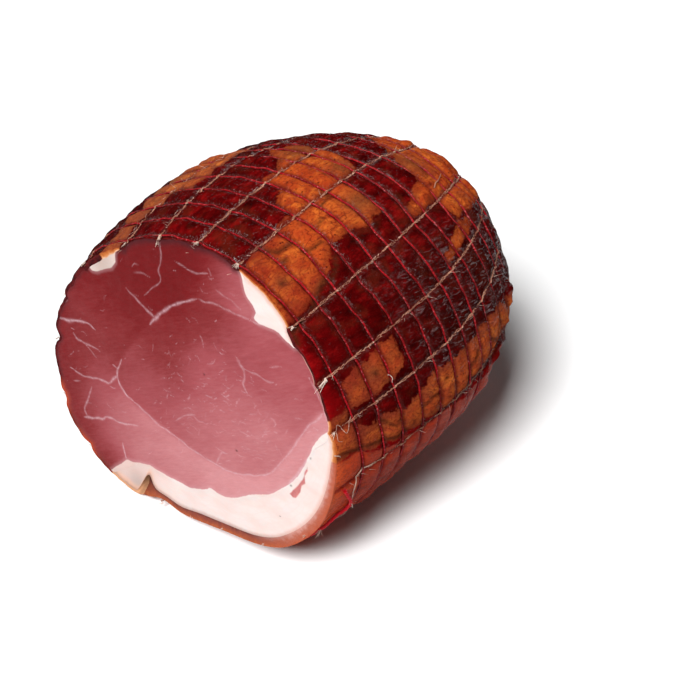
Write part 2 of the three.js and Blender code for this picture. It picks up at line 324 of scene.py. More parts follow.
# Patches of amber rind on the smoked outside, as angle in degrees and distance from the cut.
RIND_PATCHES = [
    [(43, 6), (43.5, 18), (44.5, 27), (48, 38), (53, 49), (54, 61), (52.5, 70), (53.5, 80), (60, 81.5),
     (68.5, 82), (69, 94), (82, 97), (100, 94), (104, 88), (97, 81), (91, 78), (87, 71), (86.5, 61),
     (77.5, 60), (74, 50), (68, 49), (66.5, 38), (65, 27), (63.5, 18), (63, 6)],
    [(17, 15), (17, 27), (18, 37), (20, 47), (27.5, 46), (27, 38), (26, 28), (24, 16)],
    [(6.8, -6), (6.8, 14), (17.5, 14), (18, 6), (17, -6)],
    [(5, 15), (4, 26), (3, 37), (2, 48), (2, 58), (1, 68), (2.5, 78), (3.5, 88), (2, 100), (3, 116),
     (0, 130), (-2, 158), (8, 158), (10, 122), (13, 113), (14.5, 101), (14, 89), (13.5, 79), (13, 70),
     (14, 62), (11.5, 51), (10, 39), (11, 28), (12.3, 16)],
    [(40, 114), (39, 125), (38.5, 140), (37, 162), (84, 162), (95, 150), (85, 128), (76, 122),
     (67, 116), (61, 112), (56, 112), (53, 101), (50, 91), (47, 91), (47.5, 112)],
    [(119.5, 38), (119.5, 47), (112, 50), (111, 56), (113, 66), (115, 78), (119, 92), (130, 102),
     (143, 96), (138, 62), (136, 44), (131, 36)],
    [(120.5, -6), (121.5, 12), (124.5, 26), (124, 36), (133, 38), (134, 24), (133, 12), (136, 6),
     (142, 3), (142, -6)],
    [(33, 91), (35, 91), (38, 105), (39, 122), (36, 123), (34, 108)],
    [(160, 30), (176, 34), (186, 62), (200, 70), (196, 96), (170, 88), (158, 60)],
    [(196, 104), (214, 96), (232, 118), (226, 150), (205, 146)],
    [(120, 122), (150, 116), (170, 138), (150, 158), (118, 150)],
    [(206, 10), (222, 14), (228, 44), (212, 56), (203, 34)],
]
# The rind over the lower fat: smooth, brown red, from the left of the belly to the right.
LOWER_RIND = [
    (234, -30), (236, 60), (242, 120), (250, 175), (352, 175), (357, 120), (359.8, 60), (361.5, 30),
    (363.5, 20), (366, 13), (366.8, -30),
]

# Lumps of meat that press out of the net: angle, distance from the cut, radius, height.
LUMPS = [
    (10.5, 72.5, 3.0, 0.9), (6, 65, 5, 0.8), (7, 44, 5, 0.7), (7, 55, 5, 0.6), (108, 72, 5, 1.0),
    (9.5, 131, 3.0, 2.6), (7, 126, 2.6, 2.4), (4, 120, 2.8, 2.4), (1, 113.5, 3.0, 2.6),
    (-1, 107, 2.8, 1.9), (-6, 98, 3.5, 1.0), (-32, 10, 13, 1.8), (-27, 32, 14, 2.3),
    (73.5, 141, 4.0, 1.9), (105, 108, 5.0, 1.2), (59, 145, 4.5, 1.2), (40, 134, 5, 1.0),
]
# Small holes in the rind, sunk into the relief and painted dark as their shade: angle, distance from the
# cut, radius.
PITS = [
    (9.8, 64.5, 1.1), (57.5, 29.5, 1.5), (22, 31.5, 0.8), (52.5, 21, 1.3), (40.3, 10.4, 1.9),
    (39.2, 10.0, 1.9), (38.0, 9.9, 1.3),
]
# Creases in the rind, sunk and with painted shade: half width, and places as angle and distance from the
# cut.
CREASES = [
    (0.8, [(66.5, 70), (65, 66), (64.5, 61.5)]),
    (0.8, [(61, 57), (60, 52.5)]),
    (0.9, [(56.5, 38.5), (55.5, 42), (55.5, 47)]),
    (0.8, [(50.5, 47), (48, 43), (46, 37.5)]),
    (1.0, [(47, 36), (46, 31), (44.5, 27), (43, 23)]),
    (1.3, [(64, 27.5), (60.5, 30.5), (60.5, 37.5)]),
    (1.1, [(41.5, 7), (41, 12), (42.3, 17)]),
    (0.8, [(10, 28), (7, 33), (8, 38)]),
    (0.8, [(6, 50), (8, 55), (7, 60)]),
    (0.9, [(3, 79), (7, 82), (9, 88)]),
    (0.9, [(8, 100), (5, 106), (9, 112)]),
    (0.8, [(8.2, 4), (8, 7), (6.5, 14), (5.5, 22), (4, 30.5), (3, 40)]),
]
# Browner places in the rind: angle, distance from the cut, radius.
STAINS = [
    (22, 30, 4.5), (136, 20, 6), (53, 21, 3.5), (59, 75, 7), (92, 90, 10), (46, 33, 3.5),
    (72, 88, 6), (62, 120, 9), (140, 60, 12),
]


# The unrolled surface, on which patches and creases are drawn: millimetres for each degree, and the
# degree at which it starts for the outlines above and for those below.
MAP_SCALE = 1.5
UPPER_START = -100
LOWER_START = 90


def as_degrees(angle, start):
    return np.mod(angle / DEGREE - start, 360) + start


def on_map(angle, along, start):
    """Place on the unrolled surface in millimetres, near enough for the patches' outlines."""
    return np.stack([as_degrees(angle, start) * MAP_SCALE, along], -1)


def crease_share(angle, along):
    """From 0 beside the creases to 1 in the middle of one."""
    places = on_map(angle, along, UPPER_START)
    share = np.zeros(np.shape(angle))
    for width, line in CREASES:
        corners = np.array(line, float) * (MAP_SCALE, 1)
        for start, end in zip(corners[:-1], corners[1:]):
            share = np.maximum(share, bell(segment_distance(places, start, end) / width))
    return share


# The dry wrinkled meat low on the right: middle and half width in degrees, start and fade along.
WRINKLED_MIDDLE = 25
WRINKLED_HALF = 15
WRINKLED_FROM = 48
WRINKLED_FADE = 20


def wrinkled_share(angle, along):
    aside = (as_degrees(angle, UPPER_START) - WRINKLED_MIDDLE) / WRINKLED_HALF
    return np.exp(-aside ** 4) * np.clip((along - WRINKLED_FROM) / WRINKLED_FADE, 0, 1)


def patch_depth(angle, along, outline, start):
    corners = [(degrees * MAP_SCALE, place) for degrees, place in outline]
    return signed_distance(on_map(angle, along, start), corners)


def rind_depth(angle, along):
    """How far inside an amber patch a point is, in millimetres, negative outside."""
    return np.max([patch_depth(angle, along, outline, UPPER_START) for outline in RIND_PATCHES], 0)


def lower_depth(angle, along):
    return patch_depth(angle, along, LOWER_RIND, LOWER_START)


def map_distance(angle, along, middle, place):
    return np.hypot(turn_between(angle, middle * DEGREE) * axis_distance(angle, along), along - place)


def spots(angle, along, places):
    """From 0 beside round spots on the skin to 1 in the middle of one."""
    return np.max([bell(map_distance(angle, along, degrees, place) / size)
                   for degrees, place, size in places], 0)


# The relief of the skin: how wide the valleys along the threads are, the widths between the
# strings at which bulges start and are full, how much more the rind stands out, the depth of
# creases and pits, and broad and fine unevenness as height, wavelength and seed.
RING_SHOULDER = 1.5
STRING_SHOULDER = 1.7
CELL_WIDTHS = (5, 19)
RIND_RISE = 0.35
CREASE_DEPTH = 0.6
PIT_DEPTH = 0.9
UNEVEN = [(0.42, 15, 3), (0.2, 5, 5)]
# Beside the cut the lower rind is free of the net: degrees from, to and fade, height and reach.
FREE_RIND = (236, 366, 8)
FREE_HEIGHT = 0.5
FREE_REACH = 5
EDGE_REACH = 6


def skin_height(angle, along):
    """Relief of the smoked outside: sunk under the threads, swelling between them."""
    beside_ring = 1 - np.exp(-ring_distance(angle, along) / RING_SHOULDER)
    beside_string = 1 - np.exp(-string_distance(angle, along) / STRING_SHOULDER)
    middle = mean_point(angle, along)
    cell_width = axis_distance(angle, along) * TURN / len(STRINGS)
    room = np.clip((cell_width - CELL_WIDTHS[0]) / (CELL_WIDTHS[1] - CELL_WIDTHS[0]), 0, 1)
    rind = np.clip(rind_depth(angle, along) / 3 + 0.5, 0, 1)
    top = VALLEY + ((PILLOW + RIND_RISE * rind) * cell_share(angle, along) - VALLEY) * room
    height = VALLEY + (top - VALLEY) * beside_ring * beside_string
    uneven = sum(rise * ripples(middle, wavelength, seed) for rise, wavelength, seed in UNEVEN)
    height = height + uneven * (0.35 + 0.65 * beside_ring * beside_string) * room
    past_cut = along - cut_along(angle)
    start, end, fade = FREE_RIND
    free = between(as_degrees(angle, LOWER_START), start, end, fade, fade) * fading(past_cut, FREE_REACH)
    height = height + (FREE_HEIGHT - height) * free
    height = height + edge_stand(angle) * fading(past_cut, EDGE_REACH)
    for degrees, place, size, rise in LUMPS:
        height = height + rise * bell(map_distance(angle, along, degrees, place) / size)
    height = height - CREASE_DEPTH * crease_share(angle, along)
    for degrees, place, size in PITS:
        height = height - PIT_DEPTH * bell(map_distance(angle, along, degrees, place) / size)
    return height


# The cut. Outlines and seams are places on the cut in millimetres, right of and above the axis.
LOWER_BORDER = [
    (-50, -66), (-44, -60), (-40, -55.8), (-36.8, -53), (-33.3, -49.3), (-29.5, -48.4),
    (-24, -46.6), (-17.3, -44.8), (-10, -45), (0, -44.2), (9, -43.4), (19, -39.5), (23, -37),
    (30, -37.5), (37, -35), (45, -29.5), (52, -25.5), (60, -21), (65, -16), (70, -11), (75, -4),
    (79, 5), (82, 13), (85, 18.5), (89, 23), (96, 29),
]
SIDE_BORDER = [
    (35, 82), (37.8, 75.5), (40.5, 69), (42.5, 65.5), (46.5, 62.5), (47.6, 59.5), (46.5, 57.2),
    (50, 56.2), (58.6, 56.2), (63.2, 55.2), (67.2, 53.8), (69, 52.6), (73, 55.2), (80, 59),
]
# The fat runs from its border outwards, past the skin.
LOWER_BEYOND = [(130, 30), (130, -130), (-60, -130)]
SIDE_BEYOND = [(110, 60), (60, 110)]
CORNER_FAT = [
    (-62, 44), (-54, 40), (-51, 40.5), (-46, 43.5), (-40.5, 46.5), (-38, 50), (-37.5, 60),
    (-50, 62),
]
FAT_ISLAND = [
    (69.9, -16.1), (71.8, -17.2), (73.8, -16.6), (76.3, -12.2), (76.9, -8.9), (78.7, -7),
    (78.5, -3.1), (80, 0.1), (79.4, 2), (77.7, -1.6), (77.1, -5.1), (74.2, -9.9), (71, -14.5),
]
# Thickness of the skin at the cut, every 15 degrees, and the fold in it low on the left.
SKIN_THICKNESS = np.array([3.6, 1.4, 0.8, 1.3, 1.0, 0.5, 0.4, 0.4, 0.8, 2.8, 2.0, 1.6,
                           1.6, 1.5, 1.6, 1.5, 1.3, 2.0, 3.2, 4.2, 4.2, 4.8, 5.4, 5.2])
FOLD_ANGLE = 250
FOLD_WIDTHS = (2.2, 6.0)
FOLD_SHARPNESS = (4, 1.7)
FOLD_DEPTH = 12.3
# How far the cut's edge stands out from the mean surface, every 15 degrees.
EDGE_STANDS = np.array([0, 0, 0, 0, 0, 0, 0, 0, 0, 0, 0, 0.3,
                        0.6, 1.0, 1.2, 1.0, 0.8, 1.0, 1.2, 1.2, 1.2, 1.0, 1.0, 1.4])
# Nicks in the edge: angle and width in degrees, depth.
EDGE_NICKS = [
    (182.5, 1.6, 2.0), (178.5, 2.0, -0.9), (188, 4.0, -0.8), (205, 1.6, 1.6), (201, 2.5, -0.7),
    (221, 1.6, 1.4), (226, 3, -0.6), (168, 2.0, 0.9), (158, 1.5, 0.8), (163, 2.0, -0.6),
    (251.5, 2.0, 0.8), (261, 9.0, 4.2), (37.3, 3.0, 1.6),
]

# Seams of fat between the muscles: half width at the start and at the end, strength, places.
SEAMS = [
    (1.1, 0.5, 0.62, [(-16, 28.5), (-12, 33.5), (-8, 38), (-3, 42.5), (2, 46), (8, 49.7), (14, 52.5)]),
    (0.5, 0.4, 0.5, [(14, 52.5), (20, 54), (27, 54.8), (35, 54.8), (44, 55.4), (54, 56)]),
    (0.8, 0.4, 0.6, [(-12.5, 33.5), (-20, 35.5), (-26, 38), (-31, 40.5)]),
    (0.5, 0.8, 0.7, [(-35.5, 3), (-37, -1), (-38.5, -4), (-38.5, -8), (-35, -12.5), (-28, -15.5)]),
    (0.65, 0.5, 0.5, [(-28, -15.5), (-20, -17.7), (-10, -20), (0, -21.5), (10, -22.8), (20, -23.3)]),
    (0.5, 0.5, 0.5, [(20, -23.3), (30, -23), (40, -21), (50, -16.8), (58, -12), (62, -7), (66, -1)]),
    (0.5, 0.6, 0.5, [(66, -1), (70, 5), (73, 11), (77, 18), (80, 22.7), (84, 26.6), (86.5, 31)]),
    (0.9, 0.5, 0.75, [(-38.3, -3), (-41.5, -2.3)]),
    (1.1, 0.6, 0.65, [(-79, 6.5), (-74, 7), (-69, 8.8), (-63, 11), (-58, 12), (-53, 10.6)]),
    (0.7, 0.4, 0.55, [(-69, 2.3), (-66, 0.3), (-60, 0.6), (-50, 0.8)]),
    (0.5, 0.3, 0.4, [(-60, 0), (-56, -2), (-52.5, -4)]),
    (0.4, 0.9, 0.6, [(-72, -17), (-63, -17.5), (-57, -16), (-52, -14.3), (-45, -13.6), (-41.5, -10),
                     (-38.7, -7)]),
    (0.9, 0.4, 0.6, [(-63, -40), (-58, -38), (-50, -35), (-47, -32.5), (-40, -31.5), (-32, -29.5),
                     (-24, -26.5)]),
    (0.4, 0.8, 0.5, [(-56.5, -20), (-60, -29), (-62.5, -35), (-61, -39)]),
    (0.7, 0.4, 0.4, [(-70, -23), (-65, -21.5)]),
    (0.7, 0.9, 0.75, [(-36, -41.5), (-35.3, -45), (-33.5, -49)]),
    (0.6, 0.3, 0.35, [(-9, 71), (-8.5, 62), (-10, 57), (-9, 52), (-15, 46), (-19.5, 41)]),
    (0.4, 0.4, 0.3, [(-26, 50), (-21, 51.8), (-15, 51.8)]),
    (0.4, 0.6, 0.4, [(0, 65), (6, 64), (14, 64.5), (20, 67)]),
    (0.9, 0.4, 0.35, [(20, 69), (21.8, 66.3)]),
    (0.5, 0.3, 0.3, [(24, 61.5), (33, 60), (40, 57.5)]),
    (0.9, 0.5, 0.45, [(37, 35.5), (39.5, 32.7), (41.5, 31.5), (42, 27), (41.3, 24.5), (42.6, 22),
                      (44.5, 20.5)]),
    (0.5, 0.6, 0.4, [(41.5, 32), (50, 31.8), (56, 32), (59.5, 33)]),
    (0.7, 0.4, 0.4, [(15.5, 36.5), (17, 34), (17.8, 31.5)]),
    (0.4, 0.6, 0.35, [(0, -13), (3, -10), (6, -7.5), (10.5, -5), (13, -4)]),
    (0.6, 0.4, 0.35, [(10.5, -5), (15, -6.2), (18, -5.5)]),
    (0.5, 0.8, 0.4, [(26, -23), (28.5, -17), (30, -14.5), (33, -14)]),
    (0.3, 0.5, 0.3, [(19, 24), (23.5, 26.5), (24.7, 28.7)]),
    (0.9, 0.6, 0.8, [(69, -12), (72.5, -7), (76, -1), (80, 7)]),
    (0.6, 0.6, 0.5, [(78, 43), (82, 39), (86, 34), (89, 27)]),
    (0.7, 0.3, 0.4, [(1, -21.5), (2, -24)]),
    (0.4, 0.3, 0.35, [(45, 11), (50, 13.8)]),
    (0.8, 0.4, 0.35, [(54.5, 7), (58, 9.5)]),
    (0.9, 0.4, 0.35, [(58, 15.5), (61, 14), (60, 12)]),
    (0.8, 0.4, 0.3, [(61, 4.5), (62.7, 1)]),
    (0.7, 0.4, 0.3, [(41, 0), (46, 1.4)]),
    (0.7, 0.4, 0.3, [(71.5, 21.3), (76.5, 22.8)]),
    (0.7, 0.3, 0.3, [(57, 39), (63, 41.5)]),
]
# Flecks of marbling, most in the round muscle, and the share of them that are anywhere.
FLECKS = 300
FLECKS_OUTSIDE = 0.35
# The large round muscle in the middle of the cut.
EYE = [
    (-16, 28.5), (-8, 38), (2, 46), (14, 52.5), (27, 54.8), (44, 55.4), (60, 56), (100, 56),
    (100, 33), (86.5, 31), (80, 22.7), (73, 11), (66, -1), (58, -12), (40, -21), (20, -23.3),
    (0, -21.5), (-20, -17.7), (-35, -12.5), (-38.5, -4), (-35.5, 3), (-31, 10), (-26, 17),
    (-21, 23),
]
EYE_EDGE = 1.2
# Paleness of the lean, from deep red at 0 to pale pink at 1, outside the round muscle and in it.
TONES = [
    (9, 68, 0.02), (-6, 56, 0.08), (-30, 55, 0.08), (-50, 33, 0.14), (-35, 22, 0.18),
    (-53, 10, 0.27), (-70, 0, 0.16), (-58, -18, 0.30), (-72, -25, 0.1), (-48, -24, 0.58),
    (-41, -34, 0.76), (-60, -42, 0.22), (-52, -54, 0.24), (-20, -32, 0.78), (-4, -30, 0.88),
    (38, -27, 1.0), (60, -12, 1.0), (33, 60, 0.70), (20, 62, 0.14), (78, 10, 0.9),
]
EYE_TONES = [
    (-10, 19, 0.22), (-28, 4, 0.34), (0, 40, 0.16), (20, 48, 0.2), (22, 22, 0.55), (40, 45, 0.45),
    (54, 41, 0.54), (74, 33, 0.5), (46, -1, 0.72), (10, -12, 0.6), (30, -18, 0.78), (60, -4, 0.76),
    (80, 26, 0.7), (90, 38, 0.4), (-15, -6, 0.5),
]
TONE_SPREAD = 11
# Small holes in the cut, dented a little and painted dark as their shade: right, above, radius.
HOLES = [(18, 18.4, 0.45), (38.3, -10.2, 0.5), (70.7, -11.7, 0.45), (65, -30.2, 0.3), (81, 6.7, 0.35)]


# Angles in degrees: where the cut's edge is orange red instead of dark, where the lower fat is
# greyer at its left end and from where it fades, the same for the thick brown rind under it, and
# where only a thin line of fat lies between the lean and the skin. The last numbers are fades.
RED_RIM = (197, 236, 3, 5)
LEFT_END = (268, 22)
BELOW_END = (335, 20)
THIN_FAT = (4, 38.5, 6, 5)


def red_rim(angle):
    degrees = as_degrees(angle, 0)
    patchy = np.clip(0.75 + 0.5 * np.sin(degrees * 0.36 + 3.6), 0, 1)
    return between(degrees, *RED_RIM) * patchy


def lower_share(angle, end, fade):
    """1 from the left under the ham, fading to 0 at an angle further right."""
    degrees = as_degrees(angle, 0)
    return np.clip((end - degrees) / fade, 0, 1) * (degrees > 200)


def left_share(angle):
    return lower_share(angle, *LEFT_END)


def below_share(angle):
    return lower_share(angle, *BELOW_END)


def thin_fat(angle):
    return between(as_degrees(angle, -90), *THIN_FAT)


def fold_share(angle):
    """How deep in the fold a point of the edge is, with one steep flank and one gentle one."""
    turn = turn_between(angle, FOLD_ANGLE * DEGREE) / DEGREE
    left = turn < 0
    width = np.where(left, *FOLD_WIDTHS)
    return np.exp(-np.abs(turn / width) ** np.where(left, *FOLD_SHARPNESS))


def edge_stand(angle):
    """How far the edge of the cut stands out, with the nicks where the net held it."""
    stand = catmull_rom(EDGE_STANDS, angle)
    for degrees, width, depth in EDGE_NICKS:
        stand = stand - depth * bell(turn_share(angle, degrees, width))
    return stand


def cut_edge(angle):
    """The outer edge of the cut, as places on the cut right of and above the axis."""
    along = cut_along(angle)
    height = skin_height(angle, along)
    points = mean_point(angle, along) + outward(angle, along) * height[..., None]
    return points[..., [0, 2]]


def on_cut(places, rise):
    """Places on the cut as points in the row frame, a little in front of the plane by rise."""
    x, z = places[..., 0], places[..., 1]
    flat = np.stack([x, CUT_LEAN * z, z], -1)
    front = np.array([0, -1, CUT_LEAN]) / math.hypot(1, CUT_LEAN)
    points = to_row(flat + np.asarray(rise)[..., None] * front)
    points[..., 2] = np.maximum(points[..., 2], FLOOR_GAP)
    return points


def skin_inside(angle):
    """The inner edge of the skin at the cut."""
    edge = cut_edge(angle)
    inward = catmull_rom(SKIN_THICKNESS, angle) + FOLD_DEPTH * fold_share(angle)
    radius = np.linalg.norm(edge, axis=-1)
    return edge * ((radius - inward) / radius)[..., None]


def angle_of(places):
    return np.arctan2(places[:, 1], places[:, 0])


def border_radius(border, angle, start):
    """Distance from the axis to a border of the fat, by angle, far out where there is none."""
    places = np.array(border, float)
    degrees = as_degrees(angle_of(places), start)
    order = np.argsort(degrees)
    radii = np.linalg.norm(places, axis=-1)[order]
    return np.interp(as_degrees(angle, start), degrees[order], radii, left=1e3, right=1e3)

# The fat pieces: their border on the cut and where its degrees start, and degrees from and to.
FAT_LAYERS = {"lower": (LOWER_BORDER, 90, 233, 376), "side": (SIDE_BORDER, -90, 34, 65)}
# Over how many degrees each end widens, and how far the lean goes past the border behind the fat.
FAT_WIDENS = 9
FAT_MARGIN = 0.9


def fat_share(angle, start, end):
    """From 0 at the two ends of a fat piece to 1 along its middle."""
    middle = (start + end) / 2
    inside = (end - start) / 2 - np.abs(turn_between(angle, middle * DEGREE)) / DEGREE
    share = np.clip(inside / FAT_WIDENS, 0, 1)
    return share * share * (3 - 2 * share)


def lean_edge(angle):
    """The edge of the lean piece at the cut: a little past the visible border of the fat."""
    inside = skin_inside(angle)
    limit = np.linalg.norm(inside, axis=-1)
    depth = 0
    for border, first, start, end in FAT_LAYERS.values():
        behind = np.maximum(limit - border_radius(border, angle, first) - FAT_MARGIN, 0)
        depth = np.maximum(depth, behind * fat_share(angle, start, end))
    return inside * ((limit - depth) / limit)[..., None]


def smooth_line(places, step=0.8):
    """A curve through listed points in steps of about the given length, two slightly bent."""
    points = np.array(places, float)
    if len(points) == 2:
        points = np.array([points[0], (points[0] + points[1]) / 2 + 0.15, points[1]])
    padded = np.vstack([2 * points[0] - points[1], points, 2 * points[-1] - points[-2]])
    line = []
    for index in range(1, len(padded) - 2):
        count = max(int(np.linalg.norm(padded[index + 1] - padded[index]) / step), 1)
        line.extend(cubic(*padded[index - 1:index + 3], t) for t in np.arange(count) / count)
    line.append(padded[-2])
    return np.array(line)


def ripples_on(places, wavelength, seed):
    """Unevenness over places on the cut."""
    return ripples(np.column_stack([places, np.zeros(len(places))]), wavelength, seed)


def add_line(field, places, line, widths, strength):
    """Raises a field along a line, which fades to both sides over its half width."""
    near = np.where(((places > line.min(0) - 4) & (places < line.max(0) + 4)).all(-1))[0]
    best = np.zeros(len(near))
    shares = np.linspace(0, 1, len(line))
    for index in range(len(line) - 1):
        width = widths[0] + (widths[1] - widths[0]) * shares[index]
        width *= 0.85 + 0.2 * math.sin(index * 0.6 + line[0][0])
        width *= min(1, 0.35 + 0.2 * index, 0.35 + 0.2 * (len(line) - 2 - index))
        best = np.maximum(best, bell(segment_distance(places[near], line[index], line[index + 1]) / width))
    field[near] = np.maximum(field[near], best * strength)


def seam_field(places):
    """Fat along the seams and in the fine marbling, 0 to 1 at each place on the cut."""
    field = np.zeros(len(places))
    for start, end, strength, points in SEAMS:
        line = smooth_line(points)
        line = line + 0.35 * ripples_on(line, 6, 11)[:, None] * np.array([0.4, 1])
        add_line(field, places, line, (0.85 * start, 0.8 * end), 0.88 * strength)
    draw = random.Random(21)
    for _ in range(FLECKS):
        middle = np.array([draw.gauss(34, 26), draw.gauss(4, 17)])
        if draw.random() < FLECKS_OUTSIDE:
            middle = np.array([draw.uniform(-75, 60), draw.uniform(-35, 66)])
        lean = math.radians(draw.gauss(22, 28))
        half = draw.uniform(0.5, 2.4) * np.array([math.cos(lean), math.sin(lean)])
        bend = np.array([-half[1], half[0]]) * draw.uniform(-0.5, 0.5)
        line = smooth_line([middle - half, middle + bend, middle + half])
        add_line(field, places, line, (draw.uniform(0.25, 0.55), 0.25), draw.uniform(0.12, 0.42))
    return field


def place_square(places, x, z):
    return (places[:, 0] - x) ** 2 + (places[:, 1] - z) ** 2


def spread_tones(places, tones):
    """The mean of the tones, those close by counting most."""
    total = np.zeros(len(places))
    weights = np.full(len(places), 1e-9)
    for x, z, tone in tones:
        square = place_square(places, x, z)
        weight = (np.exp(-square / (2 * TONE_SPREAD ** 2))
                  + 0.02 * np.exp(-square / (2 * (3 * TONE_SPREAD) ** 2)))
        total += weight * tone
        weights += weight
    return total / weights


def tone_field(places):
    inside = signed_distance(places, smooth_line(EYE + EYE[:1], 2.0))
    share = 1 / (1 + np.exp(-inside / EYE_EDGE * 2))
    return spread_tones(places, TONES) * (1 - share) + spread_tones(places, EYE_TONES) * share


def border_field(places, border, beyond):
    """Signed distance to a border of the fat, positive on the fat's side."""
    line = smooth_line(border, 1.5)
    line = line + 0.3 * ripples_on(line, 7, 17)[:, None]
    return signed_distance(places, np.vstack([line, beyond]))


def fat_field(places):
    lower = border_field(places, LOWER_BORDER, LOWER_BEYOND)
    side = border_field(places, SIDE_BORDER, SIDE_BEYOND)
    corner = signed_distance(places, CORNER_FAT)
    return np.maximum(np.maximum(lower, side), corner)


def spot_field(places, x, z, size):
    return np.exp(-place_square(places, x, z) / size ** 2)


def hole_field(places):
    return np.max([spot_field(places, *hole) for hole in HOLES], 0)


def margin_field(places, angle):
    """Millimetres from the outer edge of the cut."""
    table = np.linspace(0, TURN, 1441)
    radii = np.linalg.norm(cut_edge(table), axis=-1)
    return np.interp(np.mod(angle, TURN), table, radii) - np.linalg.norm(places, axis=-1)


class Shell:
    """A closed mesh that grows by rows of points, each joined to the row before it."""

    def __init__(self):
        self.points = []
        self.count = 0
        self.faces = []
        self.fields = {}

    def add(self, points, **fields):
        points = np.atleast_2d(points)
        for name, values in fields.items():
            record = self.fields.setdefault(name, [])
            have = sum(len(part) for part in record)
            record.append(np.zeros(self.count - have))
            record.append(np.broadcast_to(np.asarray(values, float), (len(points),)))
        self.points.append(points)
        self.count += len(points)
        return np.arange(self.count - len(points), self.count)

    def join(self, first, second):
        """Two closed rows, with the same number of points or not."""
        if len(first) == len(second):
            next_first, next_second = np.roll(first, -1), np.roll(second, -1)
            self.faces.append(np.column_stack([first, next_first, next_second, second]))
            return
        self.faces.append(np.array(self.zigzag(first, second)))

    @staticmethod
    def zigzag(first, second):
        """Triangles between two closed rows, which step along whichever row is behind."""
        triangles = []
        i = j = 0
        while i < len(first) or j < len(second):
            here, there = first[i % len(first)], second[j % len(second)]
            if j >= len(second) or (i < len(first) and (i + 1) * len(second) <= (j + 1) * len(first)):
                triangles.append((here, first[(i + 1) % len(first)], there))
                i += 1
            else:
                triangles.append((here, second[(j + 1) % len(second)], there))
                j += 1
        return triangles

    def fan(self, row, tip):
        self.faces.append(np.column_stack([row, np.roll(row, -1), np.full(len(row), tip)]))

    def grid(self, rows):
        """Open rows of equal length, as a sheet."""
        grid = np.stack(rows)
        corners = [grid[:-1, :-1], grid[:-1, 1:], grid[1:, 1:], grid[1:, :-1]]
        self.faces.append(np.stack([corner.ravel() for corner in corners], -1))

    def mesh(self, name):
        return mesh_object(name, np.vstack(self.points), self.faces, self.fields, self.count)


def facing_out(points, faces):
    """Faces turned over if they enclose a negative volume."""
    volume = 0.0
    for block in faces:
        for corner in range(1, block.shape[1] - 1):
            a, b, c = points[block[:, 0]], points[block[:, corner]], points[block[:, corner + 1]]
            volume += np.einsum("ij,ij->", a, np.cross(b, c))
    return faces if volume > 0 else [block[:, ::-1] for block in faces]


# Edges that turn more than this are shaded as sharp.
SHARP_FROM = math.radians(50)


def add_object(name, data):
    thing = bpy.data.objects.new(name, data)
    bpy.context.scene.collection.objects.link(thing)
    return thing


def mesh_object(name, points, faces, fields, count):
    faces = facing_out(points - points.mean(0), faces)
    mesh = bpy.data.meshes.new(name)
    mesh.vertices.add(len(points))
    mesh.vertices.foreach_set("co", (points * MM).astype(np.float32).ravel())
    loops = np.concatenate([block.ravel() for block in faces]).astype(np.int32)
    totals = np.concatenate([np.full(len(block), block.shape[1]) for block in faces])
    mesh.loops.add(len(loops))
    mesh.loops.foreach_set("vertex_index", loops)
    mesh.polygons.add(len(totals))
    starts = np.concatenate([[0], np.cumsum(totals)[:-1]])
    mesh.polygons.foreach_set("loop_start", starts.astype(np.int32))
    mesh.polygons.foreach_set("use_smooth", np.ones(len(totals), bool))
    mesh.update(calc_edges=True)
    mesh.validate()
    for field, parts in fields.items():
        values = np.concatenate(parts)
        values = np.concatenate([values, np.zeros(count - len(values))])
        attribute = mesh.attributes.new(field, "FLOAT", "POINT")
        attribute.data.foreach_set("value", values.astype(np.float32))
    mesh.set_sharp_from_angle(angle=SHARP_FROM)
    return add_object(name, mesh)


def dress(piece, material, slot, *nodes):
    piece.data.materials.append(material)
    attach(piece, "root")
    for node in nodes:
        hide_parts(node)


# The smoked skin: a shell over the whole ham, whose section shows at the cut. Its rows of points
# are at shares of the way from ring to ring, and have fewer columns between the last rings.
CUT_COLUMNS = 1200
SKIN_COLUMNS = 512
LAST_COLUMNS = [256, 256, 128]
ROW_SHARES = [0.07, 0.15, 0.27, 0.42, 0.58, 0.73, 0.85, 0.93, 1.0]
RIM_SHARES = [0.12, 0.3, 0.55, 0.8, 1.0]
SKIN_DEPTH = 2.2
# How far left on the lower rind its section is a pale crust, as a left_share.
CRUST_FROM = 0.77
# The skin's inner side, and that of the lean against it: columns and distances from the cut.
HIDDEN_COLUMNS = [400, 200] + [100] * 7
HIDDEN_ROWS = [8, 30, 60, 90, 115, 135, 150, 162, 170]
HIDDEN_BEHIND = 6
HIDDEN_TIP = 1.5
INNER_GAP = 0.2
# The ham's left side in radians, and how far back its front colours and those at the cut reach.
LEFT_SIDE = 2.7
FRONT_REACH = 12
BESIDE_REACH = 4
FOLD_CREASE = 1.6


def round_angles(count):
    return np.arange(count) / count * TURN


def add_skin_row(shell, angle, along):
    # Painted shade in the pits and creases, which the relief also sinks.
    pits = np.maximum(spots(angle, along, PITS), 0.8 * crease_share(angle, along))
    return shell.add(
        ham_point(angle, along, skin_height(angle, along)),
        rind=rind_depth(angle, along), lower=lower_depth(angle, along),
        thread=np.minimum(ring_distance(angle, along), string_distance(angle, along)),
        pit=pits, stain=spots(angle, along, STAINS), wrinkled=wrinkled_share(angle, along),
        side=np.cos(angle - LEFT_SIDE), front=fading(along, FRONT_REACH),
        beside_cut=fading(along - cut_along(angle), BESIDE_REACH), deep=0)


